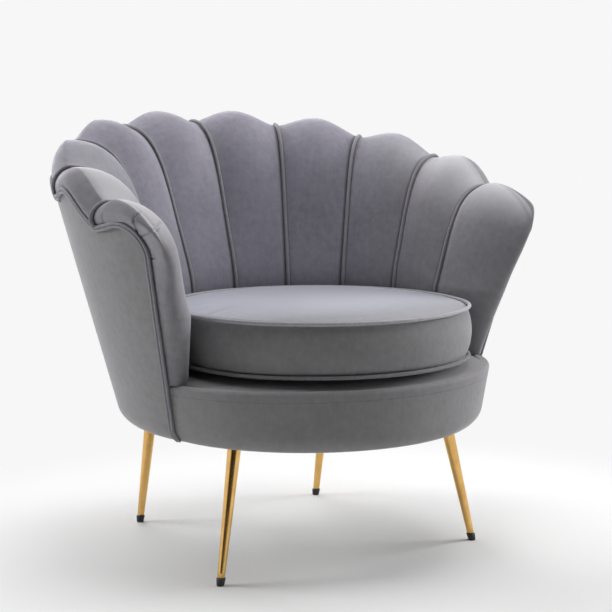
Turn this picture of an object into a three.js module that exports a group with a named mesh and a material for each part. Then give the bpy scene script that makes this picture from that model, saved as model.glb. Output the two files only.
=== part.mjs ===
// A scallop back armchair: ten padded channels on a ribbed shell, a round loose cushion and four splayed legs.
// Millimetres. +Z is up, the chair faces -Y, and the origin is on the floor under the middle of the chair.
import * as THREE from "three";

// Gap between hard pieces that touch, and between soft pieces
const clearance = 0.3;
const softGap = 0.5;

// Heights of the base and of the deck
const baseHeight = 212;
const ringAboveBase = 68;
const ringThickness = 18;
const deckEdgeAboveRing = 12;
const deckCrown = 15.2;
const deckRadius = 286;

// The outside of the shell is a cone that eases into an upright wall. Its axis stands behind the seat's own axis.
const shellAxisBehind = 45;
const lowHeight = 220;
const lowRadius = 297.5;
const conePerHeight_share = 0.2725;
const bendHeight = 575;
const bendReach = 80;
const skinThickness = 4;
const underTurnRadius = 28;

// The front rail is an oval, drawn in a little at its sides, with a rolled top edge
const railDepth = 271;
const railInset = 11;
const railLipRadius = 7;
const railLipWidth = 16;

// Inside face of the shell: upright beside the cushion, leaning out above it, and curling out to the ridge
const innerRadius = 256;
const leanStartAboveCushion = 21;
const leanBlend = 14;
const leanPerHeight_share = 0.35;
const curlHeight = 170;
const backRidgeHeight = 705;
const armRidgeHeight = 594;
const ridgeFall_share = 0.87;
const ridgeInset = 31;

// Drop from the ridge to the welt without its scallops, and how far the roll between them hangs out at the arms
const backWeltDrop = 65;
const armWeltDrop = 41;
const weltFall_share = 0.8;
const armRollOut = 20;
const rollOutFall_share = 2;

// Channels between the seams, with the swell in their middles: at the deck, on the ridge and at the welt
const seamPitchAngle = 22.5;
const fullChannelsPerSide = 4;
const channelSwellLow = 8;
const channelSwellTop = 23;
const backScallop = 12;
const armScallop = 30;
const frontSwellLow = 4;
const frontSwellTop = 12;
const frontSwellAngle = 9;

// Powers that round a channel's swell across it: a full pillow low down, a bell on the ridge
const lowRoundness_share = 2.2;
const lowFullness_share = 0.8;
const topRoundness_share = 1.85;
const topFullness_share = 1.7;

// Padding thickness up to the curl, on the ridge, and at the welt where the cover is pinned
const padThickness = 32;
const padRidgeThickness = 26;
const padWeltThickness = 9;

// Arm front: its edge lies in a plane that leans forward, then turns over the arm's corner
const armPlaneDepth = 50;
const armPlaneHeight = 213;
const armLeanPerHeight_share = 0.176;
const armCornerRadius = 46;
const armCornerDrop = 77;
const armStartBeyondAngle = 4;

// Cords
const seamCordRadius = 3;
const seamCordGap = 0.8;
const weltCordRadius = 2.6;
const weltCordPitch = 5.5;
const weltSeat = 0.6;
const weltBehindJoint = 2.5;
const pipingRadius = 3;

// Cushion
const cushionSideGap = 11;
const cushionForward = 17;
const cushionBorderHeight = 82;
const cushionDeckGap = 0.6;
const cushionCrown = 14;
const cushionUnderCrown = 3.2;
const cushionBulge = 5;
const cushionEdge = 4.5;
const zipWidth = 12;
const zipThickness = 1.5;
const zipHalfAngle = 30;

// Frame
const hoopSize = 20;
const hoopBelowRidge = 50;
const hoopHalfAngle = 92;
const ribThickness = 18;
const ribInset = 12;
const ribPitchAngle = 30;
const ribsPerSide = 3;
const boardThickness = 15;
const boardInset = 21;
const railPanelThickness = 8;
const railPanelInset = 8;
const railPanelStartAngle = 106;
const frameInset = 6;
const ringBore = 200;
const dustCoverThickness = 1.5;
const strapWidth = 50;
const strapThickness = 1.6;
const strapLength = 470;
const strapsBehind = 7;
const strapPitch = 120;
const lengthwiseStraps = 3;
const crosswiseStraps = 2;

// Legs: where their tops stand inside the base's outline, and how far the feet are splayed from there
const frontLegAngle = 116.11;
const frontLegInset = 55.5;
const frontFootOut = 42;
const frontFootAhead = 26.5;
const rearLegAngle = 37.59;
const rearLegInset = 33.8;
const rearFootOut = 4.5;
const rearFootBehind = 45.5;
const legTopRadius = 11;
const legTipRadius = 6;
const footCapRadius = 7.4;
const footCapHeight = 12;
const studRadius = 4;
const studLength = 24;
const insertWall = 1.2;
const insertFlangeRadius = 11;
const insertFlangeThickness = 1.6;
const blockSize = 50;

// How the surfaces are cut into facets
const nearSeam_share = 0.75;
const channelColumns_share = [-1, -nearSeam_share, -0.3, 0.3, nearSeam_share, 1];
const armTopColumnCount = 3;
const armCornerAngles = [75, 60, 45];
const armFrontAngles = [0, 22.5, 45];
const underAngles = [17, 52, 90];
const fullTurnAngle = 360;
const crownRings_share = [0.87, 0.5, 0.12];
const roundSides = 16;
const cordSides = 5;
const cushionSides = 36;
const outlineSides = 64;
const railColumns = 20;
const railSettleCount = 6;
const hoopStations = 22;

const radians = THREE.MathUtils.degToRad;
const degrees = THREE.MathUtils.radToDeg;
const mix = THREE.MathUtils.lerp;
const smooth = (t) => THREE.MathUtils.smoothstep(t, 0, 1);
const lastSeam = seamPitchAngle * fullChannelsPerSide;
const armStartAngle = lastSeam + armStartBeyondAngle;
const ringHeight = baseHeight + ringAboveBase;
const deckEdgeHeight = ringHeight + ringThickness + deckEdgeAboveRing;
const cushionRadius = innerRadius - cushionSideGap;
const cushionBottom = deckEdgeHeight + deckCrown + cushionDeckGap + cushionUnderCrown;
const cushionTop = cushionBottom + cushionBorderHeight;
const leanStartHeight = cushionTop + leanStartAboveCushion;
const backWeltHeight = backRidgeHeight - backWeltDrop;
const armWeltHeight = armRidgeHeight - armWeltDrop;
const armCornerHeight = armRidgeHeight - armCornerDrop;
const sideFoot = baseHeight + underTurnRadius;
const padFoot = deckEdgeHeight + softGap;

const velvet = new THREE.MeshStandardMaterial({ color: 0x77767b, roughness: 0.9, metalness: 0 });
const velvetCord = new THREE.MeshStandardMaterial({ color: 0x6a696e, roughness: 0.9, metalness: 0 });
const goldMetal = new THREE.MeshStandardMaterial({ color: 0xc89a4a, roughness: 0.2, metalness: 1 });
const blackPlastic = new THREE.MeshStandardMaterial({ color: 0x151515, roughness: 0.6, metalness: 0 });
const plywood = new THREE.MeshStandardMaterial({ color: 0xc8a878, roughness: 0.8, metalness: 0 });
const webbing = new THREE.MeshStandardMaterial({ color: 0x8a6f4e, roughness: 0.9, metalness: 0 });
const steel = new THREE.MeshStandardMaterial({ color: 0x9a9a9e, roughness: 0.4, metalness: 1 });
const lining = new THREE.MeshStandardMaterial({ color: 0x1c1c1e, roughness: 1, metalness: 0 });

// Everything below is placed from the seat's axis, and this group moves it over the origin at the end
const seated = new THREE.Group();
const chair = new THREE.Group();
chair.add(seated);

function addPiece(name, geometry, material, group = seated) {
  const mesh = new THREE.Mesh(geometry, material);
  mesh.name = name;
  group.add(mesh);
  return mesh;
}

// Geometry from triangles that share their corners
function indexed(points, triangles) {
  const geometry = new THREE.BufferGeometry();
  geometry.setAttribute("position", new THREE.Float32BufferAttribute(points.flatMap((p) => p.toArray()), 3));
  geometry.setIndex(triangles.flat());
  return geometry;
}

// A closed slab between two grids of points. Seen from outside, columns run to the right and rows run up.
function slab(outside, inside) {
  const rows = outside.length;
  const columns = outside[0].length;
  const points = [...outside.flat(), ...inside.flat()];
  const front = (i, j) => i * columns + j;
  const back = (i, j) => rows * columns + front(i, j);
  const triangles = [];
  const quad = (a, b, c, d) => triangles.push([a, b, c], [a, c, d]);
  for (let i = 0; i + 1 < rows; i++) {
    for (let j = 0; j + 1 < columns; j++) {
      quad(front(i, j), front(i, j + 1), front(i + 1, j + 1), front(i + 1, j));
      quad(back(i, j), back(i + 1, j), back(i + 1, j + 1), back(i, j + 1));
    }
  }
  for (let i = 0; i + 1 < rows; i++) {
    const j = columns - 1;
    quad(front(i, 0), front(i + 1, 0), back(i + 1, 0), back(i, 0));
    quad(front(i, j), back(i, j), back(i + 1, j), front(i + 1, j));
  }
  for (let j = 0; j + 1 < columns; j++) {
    const i = rows - 1;
    quad(front(0, j), back(0, j), back(0, j + 1), front(0, j + 1));
    quad(front(i, j), front(i, j + 1), back(i, j + 1), back(i, j));
  }
  return indexed(points, triangles);
}

// The same body on the other side of the chair
function otherSide(geometry) {
  const other = geometry.clone().scale(-1, 1, 1);
  const order = Array.from(geometry.index.array).reverse();
  return other.setIndex(order);
}

// A closed skin through rings of points. The rings run anticlockwise seen from the end they travel towards.
function loft(rings, closedLoop = false) {
  const sides = rings[0].length;
  const at = (i, j) => (i % rings.length) * sides + (j % sides);
  const spans = closedLoop ? rings.length : rings.length - 1;
  const triangles = [];
  for (let i = 0; i < spans; i++) {
    for (let j = 0; j < sides; j++) {
      triangles.push([at(i, j), at(i, j + 1), at(i + 1, j + 1)], [at(i, j), at(i + 1, j + 1), at(i + 1, j)]);
    }
  }
  const end = (rings.length - 1) * sides;
  for (let j = 1; j + 1 < sides && !closedLoop; j++) {
    triangles.push([0, j + 1, j], [end, end + j, end + j + 1]);
  }
  return indexed(rings.flat(), triangles);
}

// A cord through stations that hold a point and an outward normal. Its section is drawn in (side, out).
function cord(stations, section) {
  const last = stations.length - 1;
  const rings = stations.map(({ point, normal }, i) => {
    const along = stations[Math.min(i + 1, last)].point.clone().sub(stations[Math.max(i - 1, 0)].point).normalize();
    const side = along.clone().cross(normal).normalize();
    const out = side.clone().cross(along);
    return section.map(([a, b]) => point.clone().addScaledVector(side, a).addScaledVector(out, b));
  });
  return loft(rings);
}

// Corners of a regular section, turned so that a flat side faces down
function regularSection(radius, sides) {
  return Array.from({ length: sides }, (_, k) => {
    const turn = radians((fullTurnAngle * (k + 1 / 2)) / sides);
    return [radius * Math.cos(turn), -radius * Math.sin(turn)];
  });
}

// A ring of points round a centre at a height
function circle(centre, radius, z) {
  return Array.from({ length: roundSides }, (_, k) => {
    const turn = radians((fullTurnAngle * k) / roundSides);
    return new THREE.Vector3(centre.x + radius * Math.cos(turn), centre.y + radius * Math.sin(turn), z);
  });
}

// A solid of revolution about +Z from (radius, height) corners
function turned(corners, sides) {
  const geometry = new THREE.LatheGeometry(corners.map(([r, z]) => new THREE.Vector2(r, z)), sides);
  return geometry.rotateX(Math.PI / 2);
}

// A flat board from an outline of [x, y] corners, with holes of {x, y, radius, sides}
function board(outline, thickness, holes = []) {
  const shape = new THREE.Shape(outline.map(([x, y]) => new THREE.Vector2(x, y)));
  for (const { x, y, radius, sides = roundSides } of holes) {
    const corners = Array.from({ length: sides }, (_, k) => {
      const turn = radians((-fullTurnAngle * (k + 1 / 4)) / sides);
      return new THREE.Vector2(x + radius * Math.cos(turn), y + radius * Math.sin(turn));
    });
    shape.holes.push(new THREE.Path(corners));
  }
  return new THREE.ExtrudeGeometry(shape, { depth: thickness, bevelEnabled: false });
}

// Angles are measured round the seat's axis, from the back towards the chair's right as seen from the front
function polar(angle, radius, z) {
  const a = radians(angle);
  return new THREE.Vector3(radius * Math.sin(a), radius * Math.cos(a), z);
}

const mirrored = (p) => new THREE.Vector3(-p.x, p.y, p.z);
const pastBend = (z) => THREE.MathUtils.clamp((z - bendHeight) / bendReach, 0, 1);

function coneRadius(z) {
  const past = pastBend(z);
  const rise = Math.min(z, bendHeight) - lowHeight + bendReach * (past - past ** 2 / 2);
  return lowRadius + conePerHeight_share * rise;
}

// Distance from the seat's axis, at an angle, to a circle about the shell's axis
function offAxis(angle, radius) {
  const a = radians(angle);
  const across = shellAxisBehind * Math.sin(a);
  return shellAxisBehind * Math.cos(a) + Math.sqrt(radius ** 2 - across ** 2);
}

// A point of the right half of the cone at a given depth and height, or inside it by the inset
function conePoint(y, z, inset = 0) {
  const radius = coneRadius(z) - inset;
  return new THREE.Vector3(Math.sqrt(radius ** 2 - (y - shellAxisBehind) ** 2), y, z);
}

function coneNormal(p) {
  const flat = new THREE.Vector2(p.x, p.y - shellAxisBehind).normalize();
  return new THREE.Vector3(flat.x, flat.y, -conePerHeight_share * (1 - pastBend(p.z))).normalize();
}

// The oval front rail, as wide as the cone less its inset
function railRadius(angle, z) {
  const a = radians(angle);
  return 1 / Math.hypot(Math.sin(a) / (coneRadius(z) - railInset), Math.cos(a) / railDepth);
}

// How far the arm's front edge stands ahead of the seat's axis
function frontAhead(z) {
  const lean = armLeanPerHeight_share * (Math.min(z, armCornerHeight) - armPlaneHeight);
  const above = Math.max(z - armCornerHeight, 0);
  return armPlaneDepth + lean - armCornerRadius + Math.sqrt(armCornerRadius ** 2 - above ** 2);
}

const cornerCentre = frontAhead(armCornerHeight) - armCornerRadius;

// Height of the welt over the front channel, from the last seam's dip over the peak and down the arm's corner
function armTopHeight(y) {
  const past = -y - cornerCentre;
  if (past > 0) return armCornerHeight + Math.sqrt(armCornerRadius ** 2 - past ** 2);
  return mix(armWeltHeight, armCornerHeight + armCornerRadius, smooth(-y / cornerCentre));
}

// Outline of the whole base at a height: the cone behind the arm fronts, the rail's oval before them
function baseRadius(angle, z) {
  const behind = offAxis(angle, coneRadius(z));
  return -Math.cos(radians(angle)) * behind < frontAhead(z) ? behind : railRadius(angle, z);
}

function baseOutline(z, inset) {
  return Array.from({ length: outlineSides }, (_, k) => {
    const angle = (-fullTurnAngle * k) / outlineSides;
    const p = polar(angle, baseRadius(angle, z) - inset, z);
    return [p.x, p.y];
  });
}

// How much of the back's height is left at an angle: all of it at the back, nothing at the last seam
const backness = (angle) => Math.max(Math.cos(radians(Math.min(Math.abs(angle), lastSeam))), 0);
const ridgeHeight = (angle) => mix(armRidgeHeight, backRidgeHeight, backness(angle) ** ridgeFall_share);

// Height of the welt line at an angle, without the scallops
function weltBase(angle) {
  const angleOut = Math.abs(angle);
  if (angleOut > lastSeam) return armTopHeight(offAxis(angleOut, coneRadius(armWeltHeight)) * Math.cos(radians(angleOut)));
  return mix(armWeltHeight, backWeltHeight, backness(angle) ** weltFall_share);
}

// The scallop that each channel gives to the welt
function scallop(angle) {
  const angleOut = Math.abs(angle);
  if (angleOut > lastSeam) return 0;
  const wave = (1 - Math.cos((2 * Math.PI * angleOut) / seamPitchAngle)) / 2;
  return wave * (angleOut > lastSeam - seamPitchAngle ? armScallop : backScallop);
}

// Share of a channel's full swell: nothing at its seams, all of it in its middle. It narrows up the curl.
function swell(angle, up) {
  const angleOut = Math.abs(angle);
  if (angleOut > lastSeam) return Math.sin((Math.PI / 2) * Math.min((angleOut - lastSeam) / frontSwellAngle, 1));
  const across = Math.abs(((angleOut % seamPitchAngle) / seamPitchAngle) * 2 - 1);
  const roundness = mix(lowRoundness_share, topRoundness_share, up);
  const fullness = mix(lowFullness_share, topFullness_share, up);
  return (1 - across ** roundness) ** fullness;
}

// Rows up a channel: each is a share of one of three stretches
const rowPlan = [
  ["rise", 0],
  ["rise", 1 / 3],
  ["rise", 2 / 3],
  ["curl", 0],
  ["curl", 0.25],
  ["curl", 0.5],
  ["curl", 0.75],
  ["roll", 0],
  ["roll", 0.25],
  ["roll", 0.5],
  ["roll", 0.75],
  ["roll", 1],
];
const lastRow = rowPlan.length - 1;
const curlRow = rowPlan.findIndex(([stretch]) => stretch === "curl");
const rollRow = rowPlan.findIndex(([stretch]) => stretch === "roll");
const curled = (i) => THREE.MathUtils.clamp((i - curlRow) / (rollRow - curlRow), 0, 1);
const rolled = (i) => Math.max(i - rollRow, 0) / (lastRow - rollRow);

function bezier(points, t) {
  return new THREE.CubicBezierCurve3(...points).getPoint(t);
}

// Distance from the seat's axis to a seam below the curl: upright, then leaning out, softly blended
function leanRadius(z) {
  return innerRadius + leanPerHeight_share * leanBlend * Math.log1p(Math.exp((z - leanStartHeight) / leanBlend));
}

// The seam's line in the upright plane at an angle: x is the distance from the seat's axis, y the height
const curlStartHandle_share = 0.5;
const curlEndHandle_share = 0.66;
const rollHandle_share = 0.55;
function seamSection(angle) {
  const ridge = ridgeHeight(angle);
  const welt = weltBase(angle);
  const curlStart = ridge - curlHeight;
  const start = new THREE.Vector3(leanRadius(curlStart), curlStart, 0);
  const top = new THREE.Vector3(offAxis(angle, coneRadius(ridge) - ridgeInset), ridge, 0);
  const end = new THREE.Vector3(offAxis(angle, coneRadius(welt)), welt + softGap, 0);
  const lean = new THREE.Vector3(leanPerHeight_share, 1, 0).setLength(curlStartHandle_share * curlHeight);
  const before = top.clone().setX(mix(top.x, start.x, curlEndHandle_share));
  const after = top.clone().setX(mix(top.x, end.x, rollHandle_share));
  const hanging = end.clone().lerp(end.clone().setY(top.y), 1 / 2);
  hanging.x += armRollOut * (1 - backness(angle)) ** rollOutFall_share;
  const curl = [start, start.clone().add(lean), before, top];
  const roll = [top, after, hanging, end];
  return rowPlan.map(([stretch, t]) => {
    if (stretch !== "rise") return bezier(stretch === "curl" ? curl : roll, t);
    const z = mix(padFoot, curlStart, t);
    return new THREE.Vector3(leanRadius(z), z, 0);
  });
}

// Direction up the seam and the normal away from the padding, at one row of a section
function sectionNormal(line, i) {
  const along = line[Math.min(i + 1, lastRow)].clone().sub(line[Math.max(i - 1, 0)]).normalize();
  return new THREE.Vector3(-along.y, along.x, 0);
}

// How far a channel's cover stands over its seams, at one row that lies at a height. It grows above the cushion.
function riseAt(i, angle, z) {
  const front = Math.abs(angle) > lastSeam;
  const low = front ? frontSwellLow : channelSwellLow;
  const top = front ? frontSwellTop : channelSwellTop;
  const grown = i < rollRow ? smooth((z - cushionTop) / (ridgeHeight(angle) - cushionTop)) : 1;
  const rise = mix(low, top, grown) * swell(angle, smooth(curled(i)));
  return mix(rise, scallop(angle), smooth(rolled(i)));
}

// The channel at an angle: each row has its point on the cover and its point on the back of the padding
function channelRows(angle) {
  const line = seamSection(angle);
  const welt = weltBase(angle);
  return line.map((p, i) => {
    const out = sectionNormal(line, i);
    const rise = riseAt(i, angle, p.y);
    const down = rolled(i);
    const thickness = mix(mix(padThickness, padRidgeThickness, curled(i)), padWeltThickness, down);
    const lift = down * (coneRadius(welt + rise) - coneRadius(welt));
    const face = p.clone().addScaledVector(out, rise);
    const back = p.clone().addScaledVector(out, -thickness);
    if (down > 0) face.set(p.x + lift, p.y + rise, 0);
    if (i < curlRow) back.set(p.x + padThickness, p.y, 0);
    if (i === lastRow) back.copy(face).setX(face.x - padWeltThickness);
    return { face, back };
  });
}

function placedRows(angle) {
  return channelRows(angle).map(({ face, back }) => ({
    face: polar(angle, face.x, face.y),
    back: polar(angle, back.x, back.y),
  }));
}

// Half of the gap between two channels, as an angle
const seamEdge = degrees(clearance / innerRadius / 2);

function gridOf(columns, side) {
  return rowPlan.map((_, i) => columns.map((column) => column[i][side]));
}

function channel(from, to) {
  const columns = channelColumns_share.map((share) => {
    const angle = mix(from, to, (share + 1) / 2);
    return placedRows(angle - (Math.abs(share) === 1 ? share * seamEdge : 0));
  });
  return slab(gridOf(columns, "face"), gridOf(columns, "back"));
}

// Stations of the welt over the front channel, from its start to the middle of the arm's corner
const armStartDepth = offAxis(armStartAngle, coneRadius(armWeltHeight)) * Math.cos(radians(armStartAngle));
const armTopDepths = [
  ...Array.from({ length: armTopColumnCount }, (_, k) => mix(armStartDepth, -cornerCentre, (k + 1) / armTopColumnCount)),
  ...armCornerAngles.map((turn) => -cornerCentre - armCornerRadius * Math.cos(radians(turn))),
];
const cornerDepth = armTopDepths[armTopDepths.length - 1];
const cornerHeights = armFrontAngles.map((turn) => armCornerHeight + armCornerRadius * Math.sin(radians(turn)));
const cornerHeight = cornerHeights[cornerHeights.length - 1];

// Height on the arm's front edge that each row of the front channel runs to
const cornerTurn = (i) => radians(armFrontAngles[armFrontAngles.length - 1]) * rolled(i);
function frontEdgeHeight(i) {
  const curlStart = armRidgeHeight - curlHeight;
  if (i <= curlRow) return mix(padFoot, curlStart, i / curlRow);
  return mix(curlStart, armCornerHeight, curled(i)) + armCornerRadius * Math.sin(cornerTurn(i));
}

// The front channel turns round the arm's front in curves whose handles are shares of their span. They meet the
// front edge from ahead, and higher up from outside as well, so that the roll hangs over the welt.
const rollStartHandle_share = { low: 0.65, top: 0.8 };
const rollEndHandle_share = { low: 0.45, top: 0.85 };
const padBackHandle_share = 0.2;
const overhangAngle = 20;
function frontChannel() {
  const start = placedRows(armStartAngle);
  const turn = polar(armStartAngle + fullTurnAngle / 4, 1, 0);
  const rows = start.map(({ face, back }, i) => {
    const height = smooth(i / rollRow);
    const z = frontEdgeHeight(i);
    const edge = conePoint(-frontAhead(z) - softGap, z);
    if (i === lastRow) edge.copy(conePoint(cornerDepth, cornerHeight + softGap));
    const normal = coneNormal(edge);
    const edgeBack = conePoint(edge.y, edge.z, padWeltThickness);
    const ahead = normal.clone().cross(new THREE.Vector3(0, 0, 1)).normalize();
    if (ahead.y > 0) ahead.negate();
    const upward = ahead.clone().cross(normal);
    if (upward.z < 0) upward.negate();
    const lead = ahead.multiplyScalar(Math.cos(cornerTurn(i))).addScaledVector(upward, Math.sin(cornerTurn(i)));
    const overhang = radians(overhangAngle) * height;
    const handle = lead.multiplyScalar(Math.cos(overhang)).addScaledVector(normal, Math.sin(overhang));
    const reach = face.distanceTo(edge);
    const startReach = reach * mix(rollStartHandle_share.low, rollStartHandle_share.top, height);
    const endReach = reach * mix(rollEndHandle_share.low, rollEndHandle_share.top, height);
    const faceCurve = [
      face,
      face.clone().addScaledVector(turn, startReach),
      edge.clone().addScaledVector(handle, endReach),
      edge,
    ];
    const backCurve = [
      back,
      back.clone().addScaledVector(turn, back.distanceTo(edgeBack) * padBackHandle_share),
      edgeBack,
      edgeBack,
    ];
    return armTopDepths.map((depth, k) => {
      if (i === lastRow) {
        const top = armTopHeight(depth) + softGap;
        return { face: conePoint(depth, top), back: conePoint(depth, top, padWeltThickness) };
      }
      const t = (k + 1) / armTopDepths.length;
      return { face: bezier(faceCurve, t), back: bezier(backCurve, t) };
    });
  });
  const columns = [placedRows(lastSeam + seamEdge), start];
  armTopDepths.forEach((_, k) => columns.push(rows.map((row) => row[k])));
  return { face: gridOf(columns, "face"), back: gridOf(columns, "back") };
}

function addChannels() {
  for (let k = 0; k < fullChannelsPerSide; k++) {
    const from = k * seamPitchAngle;
    const to = from + seamPitchAngle;
    addPiece("channel_right_" + (k + 1), channel(from, to), velvet);
    addPiece("channel_left_" + (k + 1), channel(-to, -from), velvet);
  }
  const right = frontChannel();
  const geometry = slab(right.face, right.back);
  addPiece("channel_right_front", geometry, velvet);
  addPiece("channel_left_front", otherSide(geometry), velvet);
}

// A cord lies in each valley, on the slopes of the two channels beside it
function addSeamCords() {
  const nearAngle = ((1 - nearSeam_share) * seamPitchAngle) / 2;
  for (let k = -fullChannelsPerSide; k <= fullChannelsPerSide; k++) {
    const angle = k * seamPitchAngle;
    const line = seamSection(angle);
    const stations = line.slice(0, -1).map((p, i) => {
      const out = sectionNormal(line, i);
      const rise = riseAt(i, Math.abs(angle) - nearAngle, p.y);
      const slope = Math.atan2(rise, p.x * radians(nearAngle));
      const centre = p.clone().addScaledVector(out, (seamCordRadius + seamCordGap) / Math.cos(slope));
      return { point: polar(angle, centre.x, centre.y), normal: polar(angle, out.x, out.y) };
    });
    const name = "seam_cord_" + (k + fullChannelsPerSide + 1);
    addPiece(name, cord(stations, regularSection(seamCordRadius, cordSides)), velvetCord);
  }
}

// Lower corner of a cover: an arc from its end under the base up to its upright side
function underTurn(turn, depth) {
  const radius = underTurnRadius - depth;
  const inset = underTurnRadius - radius * Math.sin(radians(turn));
  return { inset, z: sideFoot - radius * Math.cos(radians(turn)) };
}

// Heights of the outside cover's rows on the arm's front edge, and the same as shares for its other columns
const sideHeights = [(sideFoot + armCornerHeight) / 2, ...cornerHeights];
const sideShares = sideHeights.map((z) => (z - sideFoot) / (cornerHeight - sideFoot));

// One column of the outside cover behind the arm fronts
function coverColumn(angle, depth) {
  const top = weltBase(angle) + scallop(angle);
  const at = (inset, z) => polar(angle, offAxis(angle, coneRadius(z) - inset), z);
  const under = underAngles.map((turn) => underTurn(turn, depth)).map(({ inset, z }) => at(inset, z));
  return [...under, ...sideShares.map((v) => at(depth, mix(sideFoot, top, v)))];
}

// One column over the arm's front part, blended from its four edges
function armCoverColumn(y, depth) {
  const u = y / cornerDepth;
  const topZ = armTopHeight(y);
  const under = underAngles.map((turn) => underTurn(turn, depth)).map(({ inset, z }) => {
    return conePoint(-frontAhead(z) * u, z, inset);
  });
  const side = sideHeights.map((z, row) => {
    const v = sideShares[row];
    const footY = -frontAhead(sideFoot);
    const alongY = mix(footY * u, y, v) + u * -frontAhead(z) - u * mix(footY, cornerDepth, v);
    const seamZ = mix(sideFoot, armWeltHeight, v);
    const alongZ = mix(sideFoot, topZ, v) + mix(seamZ, z, u) - mix(sideFoot, mix(armWeltHeight, cornerHeight, u), v);
    return conePoint(alongY, alongZ, depth);
  });
  return [...under, ...side];
}

const scallopAngles = [];
for (let k = 0; k < fullChannelsPerSide; k++) {
  channelColumns_share.slice(0, -1).forEach((share) => scallopAngles.push((k + (share + 1) / 2) * seamPitchAngle));
}
scallopAngles.push(lastSeam);

function addOutsideCover() {
  const grid = (depth) => {
    const right = [...armTopDepths].reverse().map((y) => armCoverColumn(y, depth));
    right.push(armCoverColumn(armStartDepth, depth));
    [...scallopAngles].reverse().forEach((angle) => right.push(coverColumn(angle, depth)));
    const left = right.slice(0, -1).reverse().map((column) => column.map(mirrored));
    const columns = [...right, ...left];
    return columns[0].map((_, i) => columns.map((column) => column[i]));
  };
  addPiece("outside_cover", slab(grid(0), grid(skinThickness)), velvet);
}

// The double welt: two cords side by side, up one arm front, along the scallops and down the other arm front
function addDoubleWelt() {
  const behind = softGap / 2 - weltBehindJoint;
  const right = [];
  const addStation = (point, normal = coneNormal(point)) => right.push({ point, normal });
  for (const turn of underAngles.slice(1)) {
    const { inset, z } = underTurn(turn, 0);
    const point = conePoint(-frontAhead(z) - behind, z, inset);
    const flat = coneNormal(point).multiplyScalar(Math.sin(radians(turn)));
    addStation(point, flat.addScaledVector(new THREE.Vector3(0, 0, -1), Math.cos(radians(turn))).normalize());
  }
  sideHeights.slice(0, -1).forEach((z) => addStation(conePoint(-frontAhead(z) - behind, z)));
  [...armTopDepths].reverse().forEach((y) => addStation(conePoint(y, armTopHeight(y) + behind)));
  addStation(conePoint(armStartDepth, armTopHeight(armStartDepth) + behind));
  [...scallopAngles].reverse().forEach((angle) => {
    const z = weltBase(angle) + scallop(angle) + behind;
    addStation(polar(angle, offAxis(angle, coneRadius(z)), z));
  });
  const left = right.slice(0, -1).reverse().map(({ point, normal }) => ({ point: mirrored(point), normal: mirrored(normal) }));
  const seat = weltSeat + weltCordRadius;
  const halfPitch = weltCordPitch / 2;
  const waist = weltCordRadius / 2;
  const section = [
    [halfPitch + weltCordRadius, seat],
    [halfPitch, seat - weltCordRadius],
    [-halfPitch, seat - weltCordRadius],
    [-halfPitch - weltCordRadius, seat],
    [-halfPitch, seat + weltCordRadius],
    [0, seat + waist],
    [halfPitch, seat + weltCordRadius],
  ];
  addPiece("double_welt", cord([...right, ...left], section), velvetCord);
}

// The angle at which a row of the front rail cover meets the arm's front edge
function railEndAngle(z, inset) {
  const ahead = frontAhead(z) + softGap;
  const settle = (angle, _) => degrees(Math.acos(-ahead / (railRadius(angle, z) - inset)));
  return Array.from({ length: railSettleCount }).reduce(settle, lastSeam);
}

function addFrontRailCover() {
  const lipTurns = [90, 45, 0];
  const grid = (depth) => {
    const rows = underAngles.map((turn) => underTurn(turn, depth));
    for (const turn of lipTurns) {
      const radius = railLipRadius - depth;
      const inset = railLipRadius - radius * Math.sin(radians(turn));
      rows.push({ inset, z: deckEdgeHeight - railLipRadius + radius * Math.cos(radians(turn)) });
    }
    rows.push({ inset: railLipWidth, z: deckEdgeHeight - depth });
    return rows.map(({ inset, z }) => {
      const end = railEndAngle(z, inset);
      return Array.from({ length: railColumns + 1 }, (_, j) => {
        const angle = mix(fullTurnAngle - end, end, j / railColumns);
        return polar(angle, railRadius(angle, z) - inset, z);
      });
    });
  };
  addPiece("front_rail_cover", slab(grid(0), grid(skinThickness)), velvet);
}

// Layers of the base, each resting on the one below it
const dustCoverFloor = baseHeight + skinThickness - clearance;
const boardFloor = dustCoverFloor + dustCoverThickness + clearance;
const boardTop = boardFloor + boardThickness;
const blockFloor = boardTop + clearance;
const blockHeight = ringHeight - clearance - blockFloor;
const ringTop = ringHeight + ringThickness;
const strapFloor = ringTop + clearance;
const deckFloor = strapFloor + 2 * (strapThickness + clearance);

const legTopAt = (angle, inset) => polar(angle, baseRadius(angle, baseHeight) - inset, 0);
const frontLegTop = legTopAt(frontLegAngle, frontLegInset);
const frontFoot = { x: frontLegTop.x + frontFootOut, y: frontLegTop.y - frontFootAhead };
const rearLegTop = legTopAt(rearLegAngle, rearLegInset);
const rearFoot = { x: rearLegTop.x + rearFootOut, y: rearLegTop.y + rearFootBehind };
const legs = [
  ["front_right", frontFoot, frontLegTop, 1],
  ["front_left", frontFoot, frontLegTop, -1],
  ["rear_right", rearFoot, rearLegTop, 1],
  ["rear_left", rearFoot, rearLegTop, -1],
];
const sided = ({ x, y }, side) => ({ x: side * x, y });
const legHoles = (radius) => legs.map(([, , top, side]) => ({ ...sided(top, side), radius }));

function addBase() {
  const dustInset = underTurn(underAngles[0], skinThickness).inset + softGap;
  const dust = board(baseOutline(baseHeight, dustInset), dustCoverThickness, legHoles(studRadius + softGap));
  addPiece("dust_cover", dust, lining).position.z = dustCoverFloor;
  const barrelHole = legHoles(studRadius + 2 * clearance + insertWall);
  const base = board(baseOutline(baseHeight, boardInset), boardThickness, barrelHole);
  addPiece("base_board", base, plywood).position.z = boardFloor;
  const bore = { x: 0, y: 0, radius: ringBore, sides: cushionSides };
  const ring = board(baseOutline(ringHeight, frameInset), ringThickness, [bore]);
  addPiece("seat_ring", ring, plywood).position.z = ringHeight;
}

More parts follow.
